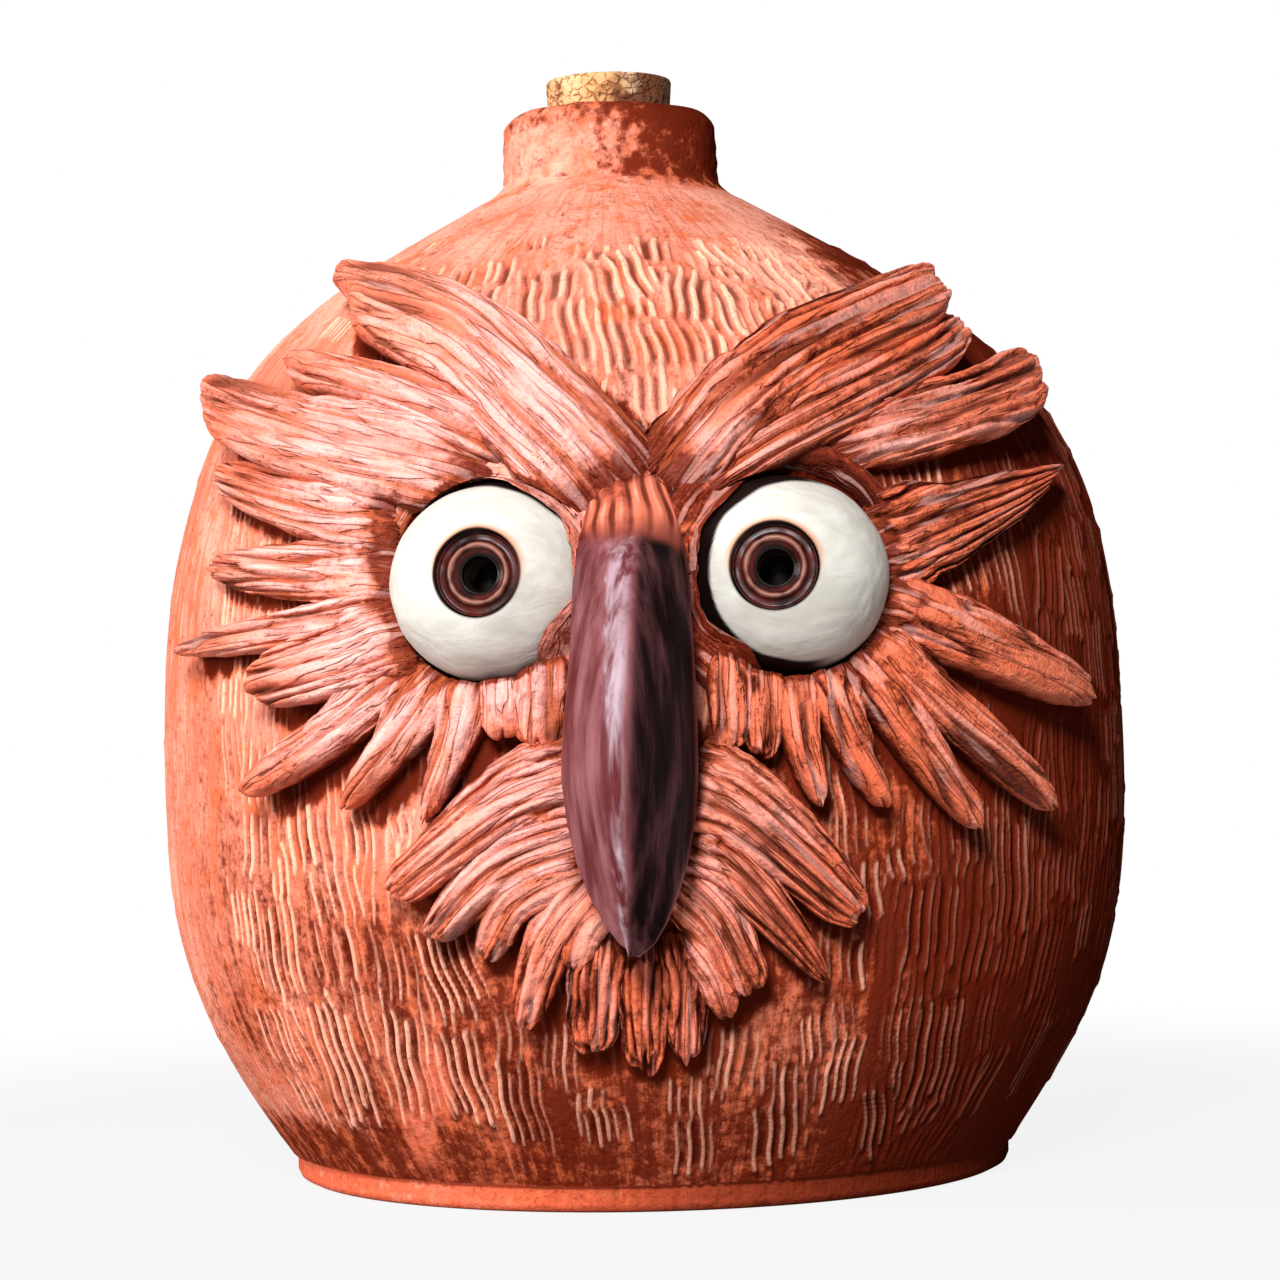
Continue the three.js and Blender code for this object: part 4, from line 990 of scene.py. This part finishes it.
# a roll of clay bent onto the skin, pressed in over the white here and there
def setRim(key, sign):
    half = eyes["rimWidth"] / 2
    middle = eyeRadius + eyes["gap"]
    section = [(middle + half * math.cos(angle), half * math.sin(angle)) for angle in np.arange(24) * tau / 24]
    bm = spun(section, 192, closed=True)
    places = placesOf(bm)
    x, y, z = places.T
    radius, spin = fromAxis(places), np.arctan2(y, x)
    inward = np.zeros(len(places))
    for centre, depth, spread in eyes["lids"][key]:
        inward += depth * hump(np.mod(np.degrees(spin) - centre + 180, 360) - 180, spread)
    innerSide = smooth(middle + half - radius, 0, 2 * half)
    newRadius = eyes["rimInner"] + (radius - middle + half) * eyes["rimShare"]
    newRadius -= (inward + 0.5 * lumps(places, 6, 81 + sign) + 0.35 * lumps(places, 1.6, 88)) * innerSide
    lift = z * np.where(z > 0, eyes["rimHeight"][key] / half, 0.3)
    lift = lift + (0.25 * lumps(places, 4, 83 + sign) + 0.3 * lumps(places, 1.4, 87)) * (lift > 0)
    clear = eyeRadius + eyes["rimClear"]
    overWhite = np.sqrt(np.maximum(0, clear**2 - newRadius**2)) - eyes["sink"]
    lift = np.where(newRadius < clear, np.maximum(lift, overWhite + 0.35 * lift.clip(0)), lift)
    across = sign * eyes["across"] + newRadius * np.cos(spin)
    moveTo(bm, offEyes(overSkin(across, eyes["up"] + newRadius * np.sin(spin), lift), eyes["rimClear"]))
    free = inward < 2
    leastWashAndShade, rosy_sheen = eyes["rimWashAndShade"][key]
    # darker on the inner side toward the eye: dark wash and painted shade
    wash_and_shade = leastWashAndShade + 0.3 * smooth(innerSide, 0.45, 0.9) * free + 0.2 * lumps(places, 5, 86)
    finishPiece(bm, key + "_eye_rim_pressed", "washed_clay", key + "_eye_rim", {
        "ridge": (0.5 + 0.3 * lumps(places, 1.4, 85)) * (1 - smooth(innerSide, 0.55, 0.75) * free),
        "wash_and_shade": wash_and_shade.clip(0, 1),
        "flow": np.column_stack((radius, spin * middle * feather["flow"], z)) * mm,
        "rosy_sheen": np.full(len(places), rosy_sheen),
    })


for key, sign in sides.items():
    turn = eyeFrame(key)
    setEyeball(key, sign, turn)
    setIris(key, sign, turn)
    setRim(key, sign)
print("eyes set")

# beak: a keeled hook of glaze under a combed clay bridge
beak = {
    "top": 121, "tip": 47, "crest": 23, "tipCrest": 15, "crestShare": 0.65, "crestPower": 0.8, "hookShare": 0.72,
    # half widths at heights from the tip up, how they differ, and how far the whole stands to the left
    "heights": (47, 48.8, 51.6, 55.3, 59.9, 65.4, 71.8, 81, 94, 107, 114, 121),
    "widths": (0, 2.2, 3.9, 5.6, 7.2, 8.4, 9, 9.1, 8.9, 8.4, 7, 5),
    "leftWider": 0.16, "leftUpTo": (70, 95), "rightShare": 0.97, "centre": -1.2,
    "keelHeights": (80, 108), "keelShift": (-1.5, 0.5),
    # the painted highlight on the left of the keel: where it starts, and how strong it is at the keel's heights
    "shineHeights": (47, 62, 80, 108), "shineFrom": (-0.14, -0.18, -0.25, -0.4), "shine": (1, 0.65),
    "flat": 0.1, "seat": 3, "sharp": 0.85, "glazeTop": 108, "bridgeTeeth": 8, "bridgeComb": 0.8, "bury": 0.8,
    "columns": 128, "rows": 150,
}


def fullness(share, fullest, power):
    away = np.where(share < fullest, 1 - share / fullest, (share - fullest) / (1 - fullest))
    return np.maximum(0, 1 - away**2) ** power


bm = bmesh.new()
bmesh.ops.create_uvsphere(bm, u_segments=beak["columns"], v_segments=beak["rows"], radius=1)
ball = placesOf(bm) * mm
share = np.clip((1 - ball[:, 2]) / 2, 0, 1)
ringSize = fromAxis(ball)
atEnd = ringSize < atPole
sideways = np.where(atEnd, 0, ball[:, 0] / np.maximum(ringSize, 1e-9))
forwards = np.where(atEnd, 0, -ball[:, 1] / np.maximum(ringSize, 1e-9))
wedge = np.minimum(1, (1 - np.abs(sideways)) / (1 - beak["flat"]))  # two facets and a flat crest between them
keeled = beak["sharp"] * smooth(share, 0.1, 0.3)
front = np.where(forwards > 0, forwards + (wedge - forwards) * keeled, forwards)
drop = np.maximum(0, (share - beak["crestShare"]) / (1 - beak["crestShare"])) ** 2
rise = np.where(share < beak["crestShare"], fullness(share, beak["crestShare"], beak["crestPower"]), 1)
crestLift = beak["crest"] * rise * (1 - drop) + beak["tipCrest"] * drop
crestLift *= 1 - 0.3 * (1 - smooth(share, 0.08, 0.24))
hook = smooth(share, beak["hookShare"], 1)
under = -beak["seat"] * (1 - hook) + beak["tipCrest"] * hook
up = beak["top"] + (beak["tip"] - beak["top"]) * share
halfWidth = np.interp(up, beak["heights"], beak["widths"]) * ~atEnd
leftShare = 1 + beak["leftWider"] * (1 - smooth(up, *beak["leftUpTo"]))
halfWidth *= np.where(sideways < 0, leftShare, beak["rightShare"])
keel = np.interp(up, beak["keelHeights"], beak["keelShift"]) * np.maximum(0, front)
across = beak["centre"] + keel + sideways * halfWidth
lift = under + (crestLift - under) * (1 + front) / 2
edge = np.column_stack((across, up, lift))
phase = across / 10 * beak["bridgeTeeth"] / 2 + 0.7 * lumps(edge, 7, 93)
comb = 0.5 + 0.5 * np.cos(tau * phase) * (0.7 + 0.5 * lumps(edge, 4, 96)).clip(0, 1)
bridge = smooth(up + 1.5 * lumps(edge, 3, 94), beak["glazeTop"] - 2, beak["glazeTop"] + 1.5)
onFront = smooth(forwards, 0, 0.4)
lift = lift + (bridge * beak["bridgeComb"] * (comb - 0.6) + 0.2 * lumps(edge, 6, 91)) * onFront
moveTo(bm, overSkin(across, up, np.maximum(lift, -beak["bury"])))
# painted highlight along the keel's left, ragged at its edge
shineFrom = np.interp(up, beak["shineHeights"], beak["shineFrom"])
shineFrom += 0.05 * lumps(edge, 3, 98) + 0.07 * lumps(edge, 1.1, 99)
shine = smooth(sideways, shineFrom - 0.03, shineFrom + 0.03) * (1 - smooth(sideways, -0.02, 0.02)) * onFront
shine *= np.interp(up, beak["keelHeights"], beak["shine"])
finishPiece(bm, "beak_glazed", "beak_glaze", "beak", {
    "glaze": 1 - bridge, "ridge": 0.5 + (comb - 0.5) * onFront,
    "painted_highlight": shine * (0.7 + 0.4 * lumps(edge, 5, 95)).clip(0, 1) * (1 - bridge),
    # painted shade: the right facet, turned from the lamps, darkens to near-black
    "right_facet_shade": smooth(sideways + 0.08 * lumps(edge, 6, 97), 0.02, 0.22) * onFront,
    "wash_and_shade": 1 - smooth(up, beak["glazeTop"], beak["glazeTop"] + 5),
})
print("beak set")

# cork: tapered, cut across the top, with pits, and painted shade darkening its right side
cork = {
    "bottom": 178.4, "length": 20, "low": 10.08, "high": 11.58, "bevel": 0.6, "columns": 180,
    "pitDepth": 0.45, "topPits": 0.35, "topCut": 0.15, "darkFrom": (-2, 4), "darkLumps": 5,
}
bottom, low, high, bevel = cork["bottom"], cork["low"], cork["high"], cork["bevel"]
top = bottom + cork["length"]
sideLine = [(low + (high - low) * part, bottom + cork["length"] * part) for part in np.linspace(0.04, 0.965, 26)]
topLine = [(radius, top) for radius in np.linspace(high - bevel, 0.7, 16)]
bm = spun([
    (0, bottom), (5, bottom), (low - bevel, bottom), *sideLine, (high - bevel * 0.35, top - bevel * 0.3), *topLine,
    (0, top),
], cork["columns"])
places = placesOf(bm)
x, y, z = places.T
radius = fromAxis(places)
pits = smooth(lumps(places * (1, 1, 1.6), 1.7, 51) + 0.5 * lumps(places, 0.8, 52), 0.45, 0.8)
shown = smooth(z, neck["rim"] + 0.2, neck["rim"] + 1)
outward = places[:, :2] / np.maximum(radius, 0.1)[:, None]
atSide = smooth(radius, high - 1.2, high - 0.4)
places[:, :2] -= outward * (cork["pitDepth"] * pits * shown * atSide)[:, None]
places[:, 2] -= (cork["topPits"] * pits + cork["topCut"]) * smooth(z, top - 0.3, top - 0.05)
# painted shade: darker towards the right side
dark = smooth(x + cork["darkLumps"] * lumps(places, 1.5, 53), *cork["darkFrom"])
places[:, 0] += neck["lean"]
moveTo(bm, places)
finishPiece(bm, "cork_stopper_cut", "cork", "cork_stopper", {"pits_and_shade": np.maximum(pits * shown, dark)}, body="cork")
print("cork set")

# stage: pale floor, world, soft lamps and the photograph's camera
stage = {"floorRadius": 4, "floor": 0.34, "whiteFrom": 0.16, "whiteTo": 0.34, "leastWhite": 0.88, "ambient": 0.035}
lamps = {  # place, size, power
    "key": ((-0.19, -1.06, 0.68), 0.34, 23),
    "fill": ((-1.2, -0.25, 0.4), 0.5, 12.5),
}
lampAim = (0, 0, 0.1)
# the frame, focal length and horizon in the photograph's pixels, roll in degrees, the rest in metres
view = {
    "frame": 1280, "focal": 3440, "horizon": 713, "shift": -1, "roll": -1.4, "back": 0.631, "height": 0.0821,
    "near": 0.01, "sensor": 36,
}
white = (1, 1, 1, 1)

bm = bmesh.new()
bmesh.ops.create_circle(bm, cap_ends=True, segments=96, radius=stage["floorRadius"])
floorMesh = bpy.data.meshes.new("stage_floor")
bm.to_mesh(floorMesh)
bm.free()
floorPiece = bpy.data.objects.new("stage_floor", floorMesh)
bpy.context.scene.collection.objects.link(floorPiece)


def seenDirectly(paint):
    rays = ("Is Camera Ray", "Is Glossy Ray", "Is Transmission Ray")
    return sum(paint.add("ShaderNodeLightPath", output=ray) for ray in rays).between(0, 1)


floorPaint = newPaint("floor_white")
spot = floorPaint.add("ShaderNodeTexCoord", output=3)
far = floorPaint.add("ShaderNodeVectorMath", {"operation": "LENGTH"}, {0: spot}, output=1)
faded = far.between(stage["whiteFrom"], stage["whiteTo"])
matt = floorPaint.add("ShaderNodeBsdfDiffuse", {}, {"Color": (stage["floor"],) * 3 + (1,)})
glow = floorPaint.add("ShaderNodeEmission", {}, {"Color": white, "Strength": 1.0})
share = seenDirectly(floorPaint) * (stage["leastWhite"] + (1 - stage["leastWhite"]) * faded)
floorShader = floorPaint.add("ShaderNodeMixShader", {}, {0: share, 1: matt, 2: glow})
floorPaint.add("ShaderNodeOutputMaterial", {}, {"Surface": floorShader})
floorMesh.materials.append(floorPaint.holder)

sky = Paint(bpy.data.worlds.new("studio"))
strength = stage["ambient"] + (1 - stage["ambient"]) * seenDirectly(sky)
backdrop = sky.add("ShaderNodeBackground", {}, {"Color": white, "Strength": strength})
sky.add("ShaderNodeOutputWorld", {}, {"Surface": backdrop})
bpy.context.scene.world = sky.holder

for name, (place, size, power) in lamps.items():
    lamp = bpy.data.lights.new(name, "AREA")
    lamp.shape = "DISK"
    lamp.size = size
    lamp.energy = power
    lampPiece = bpy.data.objects.new(name, lamp)
    lampPiece.location = place
    aim = Vector(lampAim) - Vector(place)
    lampPiece.rotation_euler = aim.to_track_quat("-Z", "Y").to_euler()
    bpy.context.scene.collection.objects.link(lampPiece)

camera = bpy.data.cameras.new("photo_camera")
camera.sensor_width = view["sensor"]
camera.lens = view["focal"] / view["frame"] * view["sensor"]
camera.shift_x = view["shift"] / view["frame"]
camera.clip_start = view["near"]
cameraPiece = bpy.data.objects.new("photo_camera", camera)
pitch = math.atan((view["horizon"] - view["frame"] / 2) / view["focal"])
aim = Matrix.Rotation(math.pi / 2 + pitch, 4, "X") @ Matrix.Rotation(math.radians(view["roll"]), 4, "Z")
aim.translation = Vector((0, -view["back"], view["height"]))
cameraPiece.matrix_world = aim
bpy.context.scene.collection.objects.link(cameraPiece)
bpy.context.scene.camera = cameraPiece
bpy.context.scene.view_settings.view_transform = "Standard"
